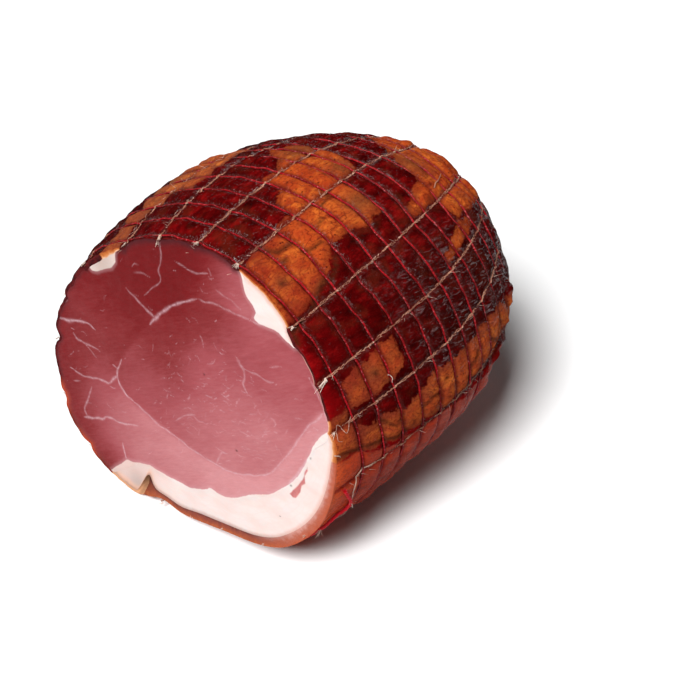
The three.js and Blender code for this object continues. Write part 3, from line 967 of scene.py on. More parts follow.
def skin_edge_row(shell, angle, share):
    """A row on the skin's section at the cut, from its outer edge at 0 to its inner one at 1."""
    along = cut_along(angle)
    outer, inner = cut_edge(angle), skin_inside(angle)
    fold = fold_share(angle)
    crease = -FOLD_CREASE * fold * (0.5 - abs(share - 0.5)) * 2
    return shell.add(
        on_cut(outer + (inner - outer) * share, crease),
        rind=rind_depth(angle, along), lower=lower_depth(angle, along), thread=3,
        # Painted shade deep in the fold.
        pit=fold ** 2 * (0.3 + 0.6 * share), side=np.cos(angle - LEFT_SIDE), front=1, beside_cut=1,
        deep=np.linalg.norm(outer - inner, axis=-1) * share + 0.05, crust=left_share(angle) > CRUST_FROM,
        red=red_rim(angle), inner=share, below=below_share(angle))


def smoked_skin():
    shell = Shell()
    edge = skin_edge_row(shell, round_angles(CUT_COLUMNS), 0)
    row = edge
    for band, count in enumerate([SKIN_COLUMNS] * (len(RINGS) - len(LAST_COLUMNS)) + LAST_COLUMNS):
        angle = round_angles(count)
        start = cut_along(angle) if band == 0 else ring_along(band - 1, angle)
        end = ring_along(band, angle)
        for share in ROW_SHARES:
            next_row = add_skin_row(shell, angle, start + (end - start) * share)
            shell.join(row, next_row)
            row = next_row
    shell.fan(row, shell.add(ham_point(0.0, HAM_LENGTH - 0.02, VALLEY), thread=0)[0])
    row = edge
    for share in RIM_SHARES:
        next_row = skin_edge_row(shell, round_angles(CUT_COLUMNS), share)
        shell.join(next_row, row)
        row = next_row
    add_hidden_side(shell, row, SKIN_DEPTH)
    return shell.mesh("smoked_skin")


def add_hidden_side(shell, row, depth):
    """The side of a piece that lies against the next one inside the ham, down to the tip."""
    for count, along in zip(HIDDEN_COLUMNS, HIDDEN_ROWS):
        angle = round_angles(count)
        place = np.maximum(cut_along(angle) + HIDDEN_BEHIND, along)
        next_row = shell.add(ham_point(angle, place, -depth))
        shell.join(next_row, row)
        row = next_row
    tip = shell.add(to_row(np.array([0, HAM_LENGTH - depth - HIDDEN_TIP, TIP_RISE])))[0]
    shell.fan(row[::-1], tip)


# The lean: the cut face with its seams and marbling, on a body that runs back to the tip.
FACE_HALF = 150
# The darker corner under the left end of the upper fat: right, above, radius.
DARK_CORNER = (-47, 47, 12)


def round_square():
    """A square grid drawn out to a disc: share of the radius and angle of each point."""
    steps = np.arange(-FACE_HALF, FACE_HALF + 1) / FACE_HALF
    u, v = np.meshgrid(steps, steps, indexing="ij")
    wide = np.abs(u) >= np.abs(v)
    share = np.where(wide, np.abs(u), np.abs(v))
    with np.errstate(divide="ignore", invalid="ignore"):
        side = np.where(wide, np.where(u >= 0, 0.0, math.pi), np.where(v >= 0, math.pi / 2, -math.pi / 2))
        slope = np.where(wide, v / u, -u / v)
        angle = side + np.nan_to_num(slope) * math.pi / 4
    return share, np.mod(angle, TURN)


def grid_rim(index):
    """The outermost points of the square grid, in order of angle from angle 0."""
    size = 2 * FACE_HALF
    right = index[size, :]
    top = index[:, size][::-1]
    left = index[0, :][::-1]
    bottom = index[:, 0]
    loop = np.concatenate([right[:-1], top[:-1], left[:-1], bottom[:-1]])
    return np.roll(loop, -FACE_HALF)


def lean():
    shell = Shell()
    share, angle = round_square()
    places = lean_edge(angle.ravel()) * share.ravel()[:, None]
    angle = angle_of(places)
    seam = seam_field(places)
    hole = hole_field(places)
    inner = np.clip((1 - share.ravel()) * 20, 0, 1)
    rise = 0.22 * ripples_on(places, 34, 8) + 0.05 * ripples_on(places, 6, 9) - 0.16 * seam - 0.5 * hole
    index = shell.add(
        on_cut(places, rise * inner), tone=tone_field(places), seam=seam, fat=fat_field(places),
        hole=hole, margin=margin_field(places, angle), red=red_rim(angle), left=left_share(angle),
        thin=thin_fat(angle), corner=spot_field(places, *DARK_CORNER)).reshape(share.shape)
    shell.grid(list(index))
    add_hidden_side(shell, grid_rim(index), SKIN_DEPTH + INNER_GAP)
    return shell.mesh("lean")


# The fat layers: blocks between the skin and the lean, from the cut to well inside.
FAT_STEPS = 44
FAT_ROWS = [12, 40, 80, 120, 145]
FAT_BEHIND = 8
FAT_COLUMNS = 25
FAT_DEEP = 12
INSIDE_FAT = {"layer": 0.5, "island": -9, "rindward": 9}
# The greyish painted shade low on the left in the lower fat, near the fold: right, above, radius.
PAINTED_FOLD_SHADE = (-25, -59, 7)


def fat_row(shell, angle, inner, outer, share):
    places = inner + (outer - inner) * share
    rise = 0.12 * ripples_on(places, 12, 12) * 4 * share * (1 - share)
    return shell.add(
        on_cut(places, rise), layer=share, island=signed_distance(places, FAT_ISLAND),
        rindward=np.linalg.norm(outer - places, axis=-1), hole=hole_field(places),
        left=left_share(angle), below=below_share(angle), shade=spot_field(places, *PAINTED_FOLD_SHADE))


def fat_layer(side, columns):
    shell = Shell()
    start, end = FAT_LAYERS[side][2:]
    angle = np.linspace(start + 0.6, end - 0.6, columns) * DEGREE
    inner, outer = lean_edge(angle), skin_inside(angle)
    rows = [fat_row(shell, angle, inner, outer, step / FAT_STEPS) for step in range(FAT_STEPS + 1)]
    shell.grid(rows)
    last = [row[-1] for row in rows[1:-1]]
    first = [row[0] for row in rows[1:-1]]
    row = np.concatenate([rows[0], last, rows[-1][::-1], first[::-1]]).astype(int)
    angle = np.linspace(start + 1, end - 1, FAT_COLUMNS) * DEGREE
    deep = np.sin(np.linspace(0, math.pi, FAT_COLUMNS)) * FAT_DEEP + SKIN_DEPTH + 0.6
    shallow = SKIN_DEPTH + INNER_GAP
    for place in FAT_ROWS:
        along = np.maximum(cut_along(angle) + FAT_BEHIND, place)
        points = np.vstack([ham_point(angle, along, -deep), ham_point(angle, along, -shallow)[::-1]])
        next_row = shell.add(points, **INSIDE_FAT)
        shell.join(row, next_row)
        row = next_row
    shell.fan(row, shell.add(points.mean(0), **INSIDE_FAT)[0])
    return shell.mesh(side + "_fat")


# The net's threads: radii, lengths of the steps along them, strands to a string, and how low
# their points may be.
RING_RADIUS = 0.42
STRAND_RADIUS = 0.16
RING_STEP = 0.62
STRING_STEP = 0.8
STRANDS = 3
THREAD_GAP = 0.02
# Where the first string, the lowest one on the right, goes over into its loose end.
LOOSE_FROM = 19
# A twisted thread's radius between its plies, and how much more it has on them.
PLY_VALLEY = 0.66
PLY_RISE = 0.42


def tube(path, out, radius, sides, closed, plies, pitch):
    """Points and faces of a twisted thread along a path, with its outward directions."""
    ahead = np.roll(path, -1, 0) - np.roll(path, 1, 0)
    if not closed:
        ahead[0] = path[1] - path[0]
        ahead[-1] = path[-1] - path[-2]
    ahead = unit(ahead)
    side = unit(np.cross(ahead, out))
    up = np.cross(side, ahead)
    turn = np.arange(sides) / sides * TURN
    lobes = 1.0
    if plies > 1:
        twist = TURN * walked_along(path)[:, None] / pitch
        lobes = PLY_VALLEY + PLY_RISE * np.abs(np.cos(plies / 2 * (turn - twist)))
    reach = np.broadcast_to(np.asarray(radius, float).reshape(-1, 1), (len(path), 1)) * lobes
    offsets = side[:, None] * np.cos(turn)[None, :, None] + up[:, None] * np.sin(turn)[None, :, None]
    points = (path[:, None] + offsets * reach[..., None]).reshape(-1, 3)
    index = np.arange(len(path) * sides).reshape(len(path), sides)
    around = np.roll(index, -1, 1)
    if closed:
        after, around_after = np.roll(index, -1, 0), np.roll(around, -1, 0)
        return points, [np.stack([index, around, around_after, after], -1).reshape(-1, 4)]
    quads = np.stack([index[:-1], around[:-1], around[1:], index[1:]], -1).reshape(-1, 4)
    points = np.vstack([points, path[0], path[-1]])
    head = np.column_stack([around[0], index[0], np.full(sides, len(points) - 2)])
    tail = np.column_stack([index[-1], around[-1], np.full(sides, len(points) - 1)])
    return points, [quads, head, tail]


class Bundle(Shell):
    """Many separate threads in one mesh."""

    def add_thread(self, path, out, radius, sides=6, closed=False, plies=1, pitch=3.0, wear=0.0):
        points, faces = tube(path, out, radius, sides, closed, plies, pitch)
        points[:, 2] = np.maximum(points[:, 2], THREAD_GAP)
        first = self.add(points, wear=wear)[0]
        self.faces += [block + first for block in facing_out(points - points.mean(0), faces)]

    def mesh(self, name):
        self.faces = [np.vstack([block for block in self.faces if block.shape[1] == sides])
                      for sides in (4, 3)]
        return super().mesh(name)


def even_angles(ring):
    """Angles that step evenly over the surface round a ring."""
    angle = np.linspace(0, TURN, 2400, endpoint=False)
    points = ham_point(angle, ring_along(ring, angle), RING_HEIGHT)
    walked = walked_along(np.vstack([points, points[:1]]))
    steps = max(int(walked[-1] / RING_STEP), 12)
    return np.interp(np.arange(steps) / steps * walked[-1], walked, np.append(angle, TURN))


def surface_out(angle, along):
    return tilted(outward(angle, along)) - tilted(np.zeros(3))


def net_rings():
    """The rings, which waver a little along the ham and in height, and the first one's tail."""
    bundle = Bundle()
    draw = random.Random(4)
    for ring in range(len(RINGS)):
        angle = even_angles(ring)
        phase = draw.uniform(0, TURN)
        along = ring_along(ring, angle) + 0.22 * np.sin(angle * 31 + phase)
        along = along + 0.15 * np.sin(angle * 57 + 2 * phase)
        height = RING_HEIGHT + 0.14 * np.sin(angle * 23 + phase) + 0.1 * np.sin(angle * 61 - phase)
        path = ham_point(angle, along, height)
        bundle.add_thread(path, surface_out(angle, along), RING_RADIUS, 6, True, 2, 2.2)
    angle = np.arange(TAIL_FROM, TAIL_TO, 0.011)
    along = tail_along(angle)
    path = ham_point(angle, along, RING_HEIGHT)
    bundle.add_thread(path, surface_out(angle, along), RING_RADIUS, 8, False, 2, 2.8)
    return bundle.mesh("net_rings")


def string_path(string, along, offset, height):
    """The way of a thread that is aside from a string by offset, and its outward directions."""
    angle = string_turn(string, along)
    angle = angle + offset / np.maximum(axis_distance(angle, along), 3)
    return ham_point(angle, along, height), surface_out(angle, along)


def string_start(string):
    """How far along the axis a string meets the cut, which leans."""
    return float(cut_along(string_turn(string, 0)))


def even_alongs(string):
    """Places that step evenly along a string, and the length up to each of them."""
    start = LOOSE_FROM if string == 0 else string_start(string) + 0.4
    along = np.linspace(start, HAM_LENGTH - 1.5, 3000)
    path, _ = string_path(string, along, 0, STRING_HEIGHT)
    walked = walked_along(path)
    even = np.linspace(0, walked[-1], int(walked[-1] / STRING_STEP))
    return np.interp(even, walked, along), even


def net_strings():
    """Each string as strands that wind loosely round each other, tighter and higher at a ring."""
    bundle = Bundle()
    draw = random.Random(9)
    for string in range(len(STRINGS)):
        along, walked = even_alongs(string)
        near_ring = bell(ring_distance(string_turn(string, along), along) / 1.5)
        loose = 0.38 - 0.08 * near_ring
        phase = draw.uniform(0, TURN)
        pitch = draw.uniform(6.5, 8.5)
        for strand in range(STRANDS):
            twist = walked / pitch * TURN + strand * TURN / STRANDS + phase
            offset = loose * np.sin(twist) + 0.25 * np.sin(walked * 0.35 + phase + strand)
            height = STRING_HEIGHT + 0.75 * near_ring - 0.3 + 0.2 * np.sin(2 * twist)
            path, out = string_path(string, along, offset, height)
            thick = STRAND_RADIUS * (1 + 0.18 * np.sin(walked * 1.7 + strand * 2 + phase))
            bundle.add_thread(path, out, thick, 5)
    return bundle.mesh("net_strings")


def scatter(draw, *spreads):
    """A random step right, back and up, each with its own spread."""
    return np.array([draw.gauss(0, spread) for spread in spreads])


def fibre(bundle, start, direction, out, length, radius, draw, wear, curl=0.6):
    """One thin curved hair that tapers to its end."""
    steps = 7
    direction = direction / np.linalg.norm(direction)
    bend = scatter(draw, 1, 1, 1) * curl
    share = np.linspace(0, 1, steps)[:, None]
    path = start + direction * length * share + bend * length * 0.35 * share ** 2
    path[:, 2] = np.maximum(path[:, 2], radius + 0.05)
    thin = radius * (1 - 0.65 * share[:, 0])
    bundle.add_thread(path, np.tile(out, (steps, 1)), thin, 3, wear=wear)


# The cut end of a string, frayed into a tuft: length, spread, number of hairs, how much it hangs
# down instead of going on ahead, and how far behind the cut it starts. Some strings differ.
TUFT = (3, 0.6, 6, 0, 1.5)
TUFTS = {1: (3, 0.6, 5, 0, 1.5), 2: (7.0, 0.42, 12, 0.4, 4.5), 3: (2.6, 0.5, 5, 0, 1.5),
         4: (3.5, 0.7, 10, 0, 1.5), 5: (3, 0.6, 9, 0, 1.5), 6: (5.5, 0.3, 22, 1.0, 1.5)}
HANGING = np.array([0, -0.2, -0.9])
# Radii and numbers of the other hairs: at the low end, fluff along the strings from and to, and
# at the red end.
TUFT_HAIR = 0.14
LOW_HAIR = 0.13
LOW_HAIRS = 11
FLUFF_HAIR = 0.08
FLUFF_HAIRS = 440
FLUFF_FROM = 8
FLUFF_TO = 165
RED_HAIR = 0.16
RED_HAIRS = 16


def add_tuft(bundle, draw, string, length, spread, count, hang, behind):
    along = string_start(string) + behind
    start, out = string_path(string, along, 0, 0.4)
    forward = start - string_path(string, along + 3, 0, 0.4)[0]
    across = np.cross(forward, out)
    across /= np.linalg.norm(across)
    forward /= np.linalg.norm(forward)
    forward = forward * (1 - 0.6 * hang) + hang * HANGING
    for _ in range(count):
        direction = forward + across * draw.gauss(0, spread) * 0.6 + out * draw.uniform(-0.05, 0.3)
        fibre(bundle, start + across * draw.gauss(0, 0.3), direction, out,
              length * draw.uniform(0.6, 1.0), TUFT_HAIR, draw, 0.8, 0.25)


def add_low_fray(bundle, draw):
    """The frayed end of the lowest string, which hangs down the cut."""
    start, out = on_skin([(-20.5, 1.4, 1.0), (-21, 1.2, 1.5)])
    for _ in range(LOW_HAIRS):
        direction = np.array([-0.1, -0.5, -0.8]) + scatter(draw, 0.25, 0.2, 0.15)
        fibre(bundle, start[-1], direction, out[-1], draw.uniform(2.0, 4.0), LOW_HAIR, draw, 1.0, 0.4)


def add_fluff(bundle, draw):
    for _ in range(FLUFF_HAIRS):
        string = draw.randrange(len(STRINGS))
        along = draw.uniform(FLUFF_FROM, FLUFF_TO)
        start, out = string_path(string, along, draw.gauss(0, 0.4), 0.2)
        direction = scatter(draw, 1, 1.3, 0.5) + out * 0.35
        fibre(bundle, start, direction, out, draw.uniform(1.5, 3.6), FLUFF_HAIR, draw, 0.4)


def frayed_ends():
    """The cut ends of the strings, loose curls, and fluff along the threads."""
    bundle = Bundle()
    draw = random.Random(15)
    for string in range(1, len(STRINGS)):
        add_tuft(bundle, draw, string, *TUFTS.get(string, TUFT))
    add_curls(bundle)
    add_low_fray(bundle, draw)
    add_fluff(bundle, draw)
    return bundle.mesh("frayed_ends")


# Loose pieces on the skin, as angle, distance from the cut and height above the skin: the red end
# of the opened ring, and the end of the lowest string beside it.
RED_END = [
    (-3.6, 5.2, 0.5), (-6.5, 7.5, 0.6), (-10.5, 10.5, 0.7), (-13, 10, 0.8), (-14.3, 6.8, 0.9),
    (-15.5, 3.2, 0.9), (-18.5, 1.2, 0.9), (-26, 1.0, 0.8), (-36, 1.2, 0.7),
]
LOW_END = [
    (-1.3, 23, 0), (-0.6, 19, 0.3), (-0.4, 15.5, 0.4), (-1, 13, 0.5), (-2.6, 11.6, 0.5),
    (-5, 10.8, 0.5), (-8, 10.1, 0.6), (-10.5, 10, 0.7), (-14, 11, 1.0), (-17, 9.5, 1.2),
    (-20, 8, 1.0), (-30, 8, 0.5),
]
# The tip of the lowest string and other curls and stray hairs: places, radius, wear.
CURLS = [
    ([(-9.5, 9.8, 1.0), (-12, 11.5, 1.4), (-14.5, 13.5, 1.8), (-16, 15, 2.6)], 0.22, 0.8),
    ([(15.5, 15, 0.4), (13, 10, 1.0), (15, 8.5, 1.4), (16, 7, 1.0), (14, 6, 1.4), (12.5, 5, 1.6),
      (11.5, 7, 0.6)], 0.16, 0.15),
    ([(9, 2, 0.2), (8.4, 3.8, 0.6), (7.8, 4.4, 0.4)], 0.24, 0.35),
    ([(19.8, 36.8, 0.2), (19.2, 38, 0.7), (18.2, 38.3, 0.8), (17.4, 37.6, 0.5)], 0.16, 0.8),
    ([(50.5, 115, 0.3), (51.5, 119, 0.5), (52, 124, 0.6), (53.2, 129, 0.4)], 0.25, 0.0),
]
CURL_STEPS = 24


def curve_through(points):
    """A smooth curve with the same number of steps between each two of its points."""
    share = np.linspace(0, len(points) - 1, CURL_STEPS * (len(points) - 1) + 1)
    slopes = np.gradient(points, axis=0)
    index = np.minimum(share.astype(int), len(points) - 2)
    t = (share - index)[:, None]
    bend = 2 * t ** 3 - 3 * t ** 2
    return (points[index] * (1 + bend) - points[index + 1] * bend
            + slopes[index] * (t ** 3 - 2 * t ** 2 + t) + slopes[index + 1] * (t ** 3 - t ** 2))


def on_skin(places):
    line = curve_through(np.array(places, float))
    angle, along = line[:, 0] * DEGREE, line[:, 1]
    path = ham_point(angle, along, skin_height(angle, along) + line[:, 2])
    return path, surface_out(angle, along)


def add_yarn(bundle, path, out, radius, wear):
    """Strands wound round each other."""
    side = unit(np.cross(np.gradient(path, axis=0), out))
    walked = walked_along(path)
    for strand in range(STRANDS):
        turn = (walked / (radius * 5) * TURN / 2 + strand * TURN / STRANDS)[:, None]
        offset = (side * np.cos(turn) + out * np.sin(turn)) * radius * 0.5
        bundle.add_thread(path + offset, out, radius * 0.55, 6, wear=wear)


def add_curls(bundle):
    """The end of the lowest string and the curls and stray hairs, which taper."""
    add_yarn(bundle, *on_skin(LOW_END), 0.27, 0.3)
    for places, radius, wear in CURLS:
        path, out = on_skin(places)
        share = np.linspace(0, 1, len(path))
        bundle.add_thread(path, out, radius * (1 - 0.5 * share ** 3), 6, False, 2, 3, wear)


def loose_end():
    """The red end of the opened ring that lies free on the right, low beside the cut."""
    bundle = Bundle()
    path, out = on_skin(RED_END)
    add_yarn(bundle, path, out, 0.8, 0.85)
    draw = random.Random(31)
    onward = path[0] - path[4]
    onward = onward / np.linalg.norm(onward)
    for _ in range(RED_HAIRS):
        direction = onward + out[0] * draw.uniform(-0.1, 0.5)
        direction = direction + scatter(draw, 0.35, 0.35, 0.35)
        fibre(bundle, path[1], direction, out[0], draw.uniform(1.8, 3.0), RED_HAIR, draw, 0.9, 0.5)
    return bundle.mesh("loose_red_end")


def tie_off():
    """The strings gathered at the far tip, wound round and knotted, with two short ends."""
    bundle = Bundle()
    middle = middle_of("net_knot")
    back = tilted(np.array([0, 1.0, 0])) - tilted(np.zeros(3))
    right = np.array([1.0, 0, 0])
    up = np.cross(right, back)
    for coil in range(4):
        turn = round_angles(40)
        radius = 3.1 - 0.35 * abs(coil - 1.5)
        ring = np.outer(np.cos(turn), right) + np.outer(np.sin(turn), up)
        place = middle + back * (-2.4 + 1.05 * coil)
        bundle.add_thread(place + ring * radius, ring, 0.7, 6, True, 2, 3)
    for tilt in (-0.5, 0.6):
        turn = round_angles(36)
        leaning = up * math.cos(tilt) + right * math.sin(tilt)
        loop = np.outer(np.cos(turn), leaning) * 2.3 + np.outer(np.sin(turn), back) * 1.9
        out = np.tile(np.cross(leaning, back), (36, 1))
        bundle.add_thread(middle + back * 0.9 + loop, out, 0.75, 6, True, 2, 3)
    for side in (-1, 1):
        share = np.linspace(0, 1, 14)[:, None]
        end = middle + back + right * side * (1 + 7 * share) - up * 5 * share ** 2 + back * share
        bundle.add_thread(end, np.tile(back, (14, 1)), 0.65, 6, False, 2, 3)
    return bundle.mesh("tie_off")


# Materials. The size of the noise that pushes other patterns about.
WARP_SIZE = 6


def is_socket(value):
    return isinstance(value, bpy.types.NodeSocket)


class Surface:
    """A material with short calls for its nodes."""

    def __init__(self, name, **settings):
        self.material = bpy.data.materials.new(name)
        self.material.use_nodes = True
        self.tree = self.material.node_tree
        self.place = self.add("TexCoord", "Object", {})
        self.finish(**settings)

    def put(self, socket, value):
        if is_socket(value):
            self.tree.links.new(value, socket)
        else:
            socket.default_value = value

    def finish(self, **values):
        """Sets or links the shader's sockets, whose names have _ for a space here."""
        shader = self.tree.nodes["Principled BSDF"]
        for name, value in values.items():
            self.put(shader.inputs[name.replace("_", " ")], value)
        return self.material

    def add(self, kind, output, inputs, **settings):
        """The output of a new node, once its inputs are set or linked."""
        node = self.tree.nodes.new("ShaderNode" + kind)
        for name, value in settings.items():
            setattr(node, name, value)
        for name, value in inputs.items():
            self.put(node.inputs[name], value)
        return node.outputs[output]

    def field(self, name, strength=1):
        value = self.add("Attribute", "Fac", {}, attribute_name=name)
        return value if strength == 1 else self.times(value, strength)

    def stretched(self, scale, turn=0.0):
        kind = "TEXTURE" if turn else "POINT"
        scale = [1 / share for share in scale] if turn else scale
        inputs = {"Rotation": (0, turn, 0), "Scale": scale, "Vector": self.place}
        return self.add("Mapping", "Vector", inputs, vector_type=kind)

    def noise(self, size, detail=3, rough=0.55, stretch=(1, 1, 1), warp=0.0, turn=0.0):
        """Soft noise whose spots are about size millimetres."""
        return self.add("TexNoise", 0, {
            "Vector": self.stretched(stretch, turn), "Scale": 1 / (size * MM), "Detail": detail,
            "Roughness": rough, "Distortion": warp})

    def warped(self, stretch, amount):
        """Coordinates pushed about by noise, so that a pattern's lines wander."""
        noise = self.add("TexNoise", "Color", {"Vector": self.place, "Scale": 1 / (WARP_SIZE * MM)})
        inputs = {0: noise, 1: (amount * WARP_SIZE * MM,) * 3, 2: self.stretched(stretch)}
        return self.add("VectorMath", 0, inputs, operation="MULTIPLY_ADD")

    def cells(self, size, feature="F1", stretch=(1, 1, 1), warp=0.0):
        place = self.warped(stretch, warp) if warp else self.stretched(stretch)
        inputs = {"Vector": place, "Scale": 1 / (size * MM)}
        return self.add("TexVoronoi", "Distance", inputs, feature=feature)

    def math(self, operation, first, second=0.0, clamp=False):
        return self.add("Math", 0, {0: first, 1: second}, operation=operation, use_clamp=clamp)

    def times(self, first, second, clamp=False):
        return self.math("MULTIPLY", first, second, clamp)

    def plus(self, first, second, clamp=False):
        return self.math("ADD", first, second, clamp)

    def swing(self, noise, amount):
        """Noise as a change up and down by half the amount."""
        return self.times(self.math("SUBTRACT", noise, 0.5), amount)

    def ragged(self, name, amount, size, detail=3):
        """A field with noise on it, which makes its borders ragged."""
        return self.plus(self.field(name), self.times(self.noise(size, detail), amount))

    def span(self, value, low, high, to_low=0.0, to_high=1.0):
        """Smoothly from to_low where the value is low to to_high where it is high."""
        inputs = {"Value": value, "From Min": low, "From Max": high, "To Min": to_low, "To Max": to_high}
        return self.add("MapRange", "Result", inputs, interpolation_type="SMOOTHSTEP")

    def blend(self, factor, first, second):
        """Between two numbers."""
        return self.add("Mix", 0, {0: factor, 2: first, 3: second})

    def mix(self, factor, first, second):
        """Between two colours."""
        first, second = (colour if is_socket(colour) else (*colour, 1) for colour in (first, second))
        return self.add("Mix", 2, {0: factor, 6: first, 7: second}, data_type="RGBA")

    def coats(self, colour, *coats):
        """A colour with others laid over it, each as strong as its factor says."""
        for factor, coat in coats:
            colour = self.mix(factor, colour, coat)
        return colour

    def ramp(self, value, stops):
        node = self.tree.nodes.new("ShaderNodeValToRGB")
        elements = node.color_ramp.elements
        while len(elements) < len(stops):
            elements.new(0.5)
        for element, (place, colour) in zip(elements, stops):
            element.position = place
            element.color = (*colour, 1)
        self.put(node.inputs["Fac"], value)
        return node.outputs["Color"]

    def bump(self, height, depth, before=None):
        """Relief of up to depth millimetres."""
        inputs = {"Distance": depth * MM, "Height": height}
        if before is not None:
            inputs["Normal"] = before
        return self.add("Bump", "Normal", inputs)


# Colours of the lean at the cut by its tone.
LEAN_TONES = [(0.0, (0.13, 0.0005, 0.0015)), (0.14, (0.168, 0.004, 0.006)), (0.28, (0.222, 0.022, 0.025)),
              (0.5, (0.335, 0.066, 0.077)), (0.7, (0.43, 0.125, 0.138)), (1.0, (0.59, 0.245, 0.258))]
FAT_WHITE = (0.80, 0.69, 0.66)
FAT_WARM = (0.79, 0.60, 0.55)
# The grain of the cut runs up to the right.
GRAIN_TURN = -28 * DEGREE


def lean_colour(surface, tone):
    grain = surface.noise(1.3, 4, 0.65, (0.22, 1, 1.3), turn=GRAIN_TURN)
    blotch = surface.noise(13, 4, 0.55, (0.5, 1, 1.1), turn=GRAIN_TURN)
    tone = surface.plus(tone, surface.swing(grain, 0.22))
    tone = surface.plus(tone, surface.swing(blotch, 0.22), True)
    return surface.ramp(tone, LEAN_TONES)


def fat_colour(surface):
    layers = surface.noise(9, 3, 0.6, (0.6, 1, 1.6))
    return surface.ramp(layers, [(0.35, FAT_WHITE), (0.75, FAT_WARM)])


def cut_lean():
    surface = Surface("cut_lean", Subsurface_Weight=0.08, Subsurface_Radius=(1.0, 0.35, 0.25),
                      Subsurface_Scale=0.0012, Specular_IOR_Level=0.12)
    edge = surface.ragged("margin", 2.5, 5)
    depth = surface.ragged("fat", 0.8, 2.5, 4)
    thin = surface.field("thin")
    smoked = surface.times(surface.span(edge, 1.4, 5.6, 0.85, 0.0), surface.math("SUBTRACT", 1.0, thin))
    uneven = surface.span(surface.noise(1.6, 3), 0.3, 0.7, 0.55, 1.2)
    seam = surface.times(surface.field("seam"), uneven, True)
    red = surface.times(surface.field("red"), surface.span(edge, 1.4, 6.5, 0.9, 0.0))
    thin_line = surface.times(thin, surface.span(surface.field("margin"), 0.5, 1.5, 0.85, 0.0))
    fat = surface.coats(
        fat_colour(surface),
        (surface.field("corner", 0.8), (0.46, 0.35, 0.30)),
        (surface.field("left", 0.6), (0.66, 0.44, 0.39)))
    colour = surface.coats(
        lean_colour(surface, surface.field("tone")),
        (smoked, (0.055, 0.006, 0.009)),
        (seam, (0.66, 0.42, 0.46)),
        (red, (0.42, 0.05, 0.026)),
        (surface.span(depth, -1.8, 0.3, 0.0, 0.25), (0.62, 0.36, 0.38)),
        (thin_line, (0.80, 0.55, 0.42)),
        (surface.span(depth, 0.2, 0.75), fat),
        # Painted shade in the small holes.
        (surface.field("hole"), (0.03, 0.004, 0.004)))
    grain = surface.noise(0.7, 4, 0.6, (0.2, 1, 1.4), turn=GRAIN_TURN)
    normal = surface.bump(surface.noise(3.2, 4, 0.6), 0.12, surface.bump(grain, 0.08))
    return surface.finish(Base_Color=colour, Normal=normal,
                          Roughness=surface.span(surface.noise(6), 0.3, 0.7, 0.34, 0.5))


def cut_fat():
    surface = Surface("cut_fat", Subsurface_Weight=0.3, Subsurface_Radius=(1.0, 0.5, 0.35),
                      Subsurface_Scale=0.0025, Specular_IOR_Level=0.4)
    stripes = surface.math("SINE", surface.times(surface.ragged("layer", 0.5, 11), 34))
    warm = surface.ragged("rindward", 1.2, 3)
    # Warmer, darker band along the rind at the left end: partly the fat's own colour there, partly painted
    # shade where its edge rounds off.
    warm_edge_and_shade = surface.times(surface.field("left"), surface.span(warm, 1.0, 6.0, 0.8, 0.0))
    beside_rind = surface.mix(surface.field("below"), (0.72, 0.36, 0.28), (0.42, 0.20, 0.15))
    island = surface.ragged("island", 0.8, 2.5)
    lean_part = surface.ramp(surface.noise(4), [(0.3, (0.46, 0.11, 0.11)), (0.7, (0.62, 0.22, 0.21))])
    colour = surface.coats(
        fat_colour(surface),
        (surface.span(stripes, 0.7, 1.0, 0.0, 0.3), (0.88, 0.62, 0.58)),
        (surface.field("left", 0.5), (0.66, 0.44, 0.39)),
        (surface.field("shade", 0.65), (0.42, 0.32, 0.28)),
        (warm_edge_and_shade, (0.80, 0.44, 0.28)),
        (surface.span(warm, 0.6, 3.0, 0.65, 0.0), beside_rind),
        (surface.span(island, 0.2, 1.0), lean_part),
        # Painted shade in the small holes.
        (surface.field("hole"), (0.05, 0.01, 0.008)))
    return surface.finish(Base_Color=colour, Normal=surface.bump(surface.noise(1.4, 4), 0.08),
                          Roughness=surface.span(surface.noise(5), 0.3, 0.7, 0.3, 0.45))


def smoked_lean_colour(surface, lower):
    """From near black to deep red where it is thin and wet, with painted sheen streaks low on the right."""
    streaks = surface.noise(5, 6, 0.7, (1, 0.35, 1))
    dark = surface.ramp(streaks, [(0.32, (0.012, 0.0004, 0.0006)), (0.5, (0.065, 0.0010, 0.0012)),
                                  (0.70, (0.20, 0.004, 0.004))])
    front, side, wrinkled = (surface.field(name) for name in ("front", "side", "wrinkled"))
    wet = surface.times(front, surface.span(surface.noise(9), 0.3, 0.6))
    dry = surface.times(wrinkled, surface.span(surface.noise(1.2, 3), 0.35, 0.6))
    # Paler streaks on the wrinkled meat are a painted sheen.
    lines = surface.times(wrinkled, surface.span(wrinkle_lines(surface), 0.54, 0.66, 0.0, 0.55))
    right = surface.times(surface.span(side, -0.75, -0.2, 0.4, 0.0), surface.span(front, 0.1, 0.5, 1.0, 0.0))
    return surface.coats(
        dark,
        (surface.times(wet, 0.7), (0.30, 0.002, 0.004)),
        (surface.span(side, 0.55, 0.95, 0.0, 0.7), (0.018, 0.004, 0.004)),
        (surface.times(dry, 0.85), (0.026, 0.004, 0.003)),
        (lines, (0.15, 0.075, 0.080)),
        (surface.span(surface.noise(12, 3), 0.5, 0.64, 0.0, 0.4), (0.080, 0.012, 0.005)),
        (right, (0.030, 0.0004, 0.0006)),
        (surface.span(lower, -6, -1.5, 0.0, 0.75), (0.24, 0.004, 0.004)),
        (surface.span(surface.ragged("thread", 3.2, 3, 4), 1.8, 4.4, 0.75, 0.0), (0.016, 0.003, 0.002)))


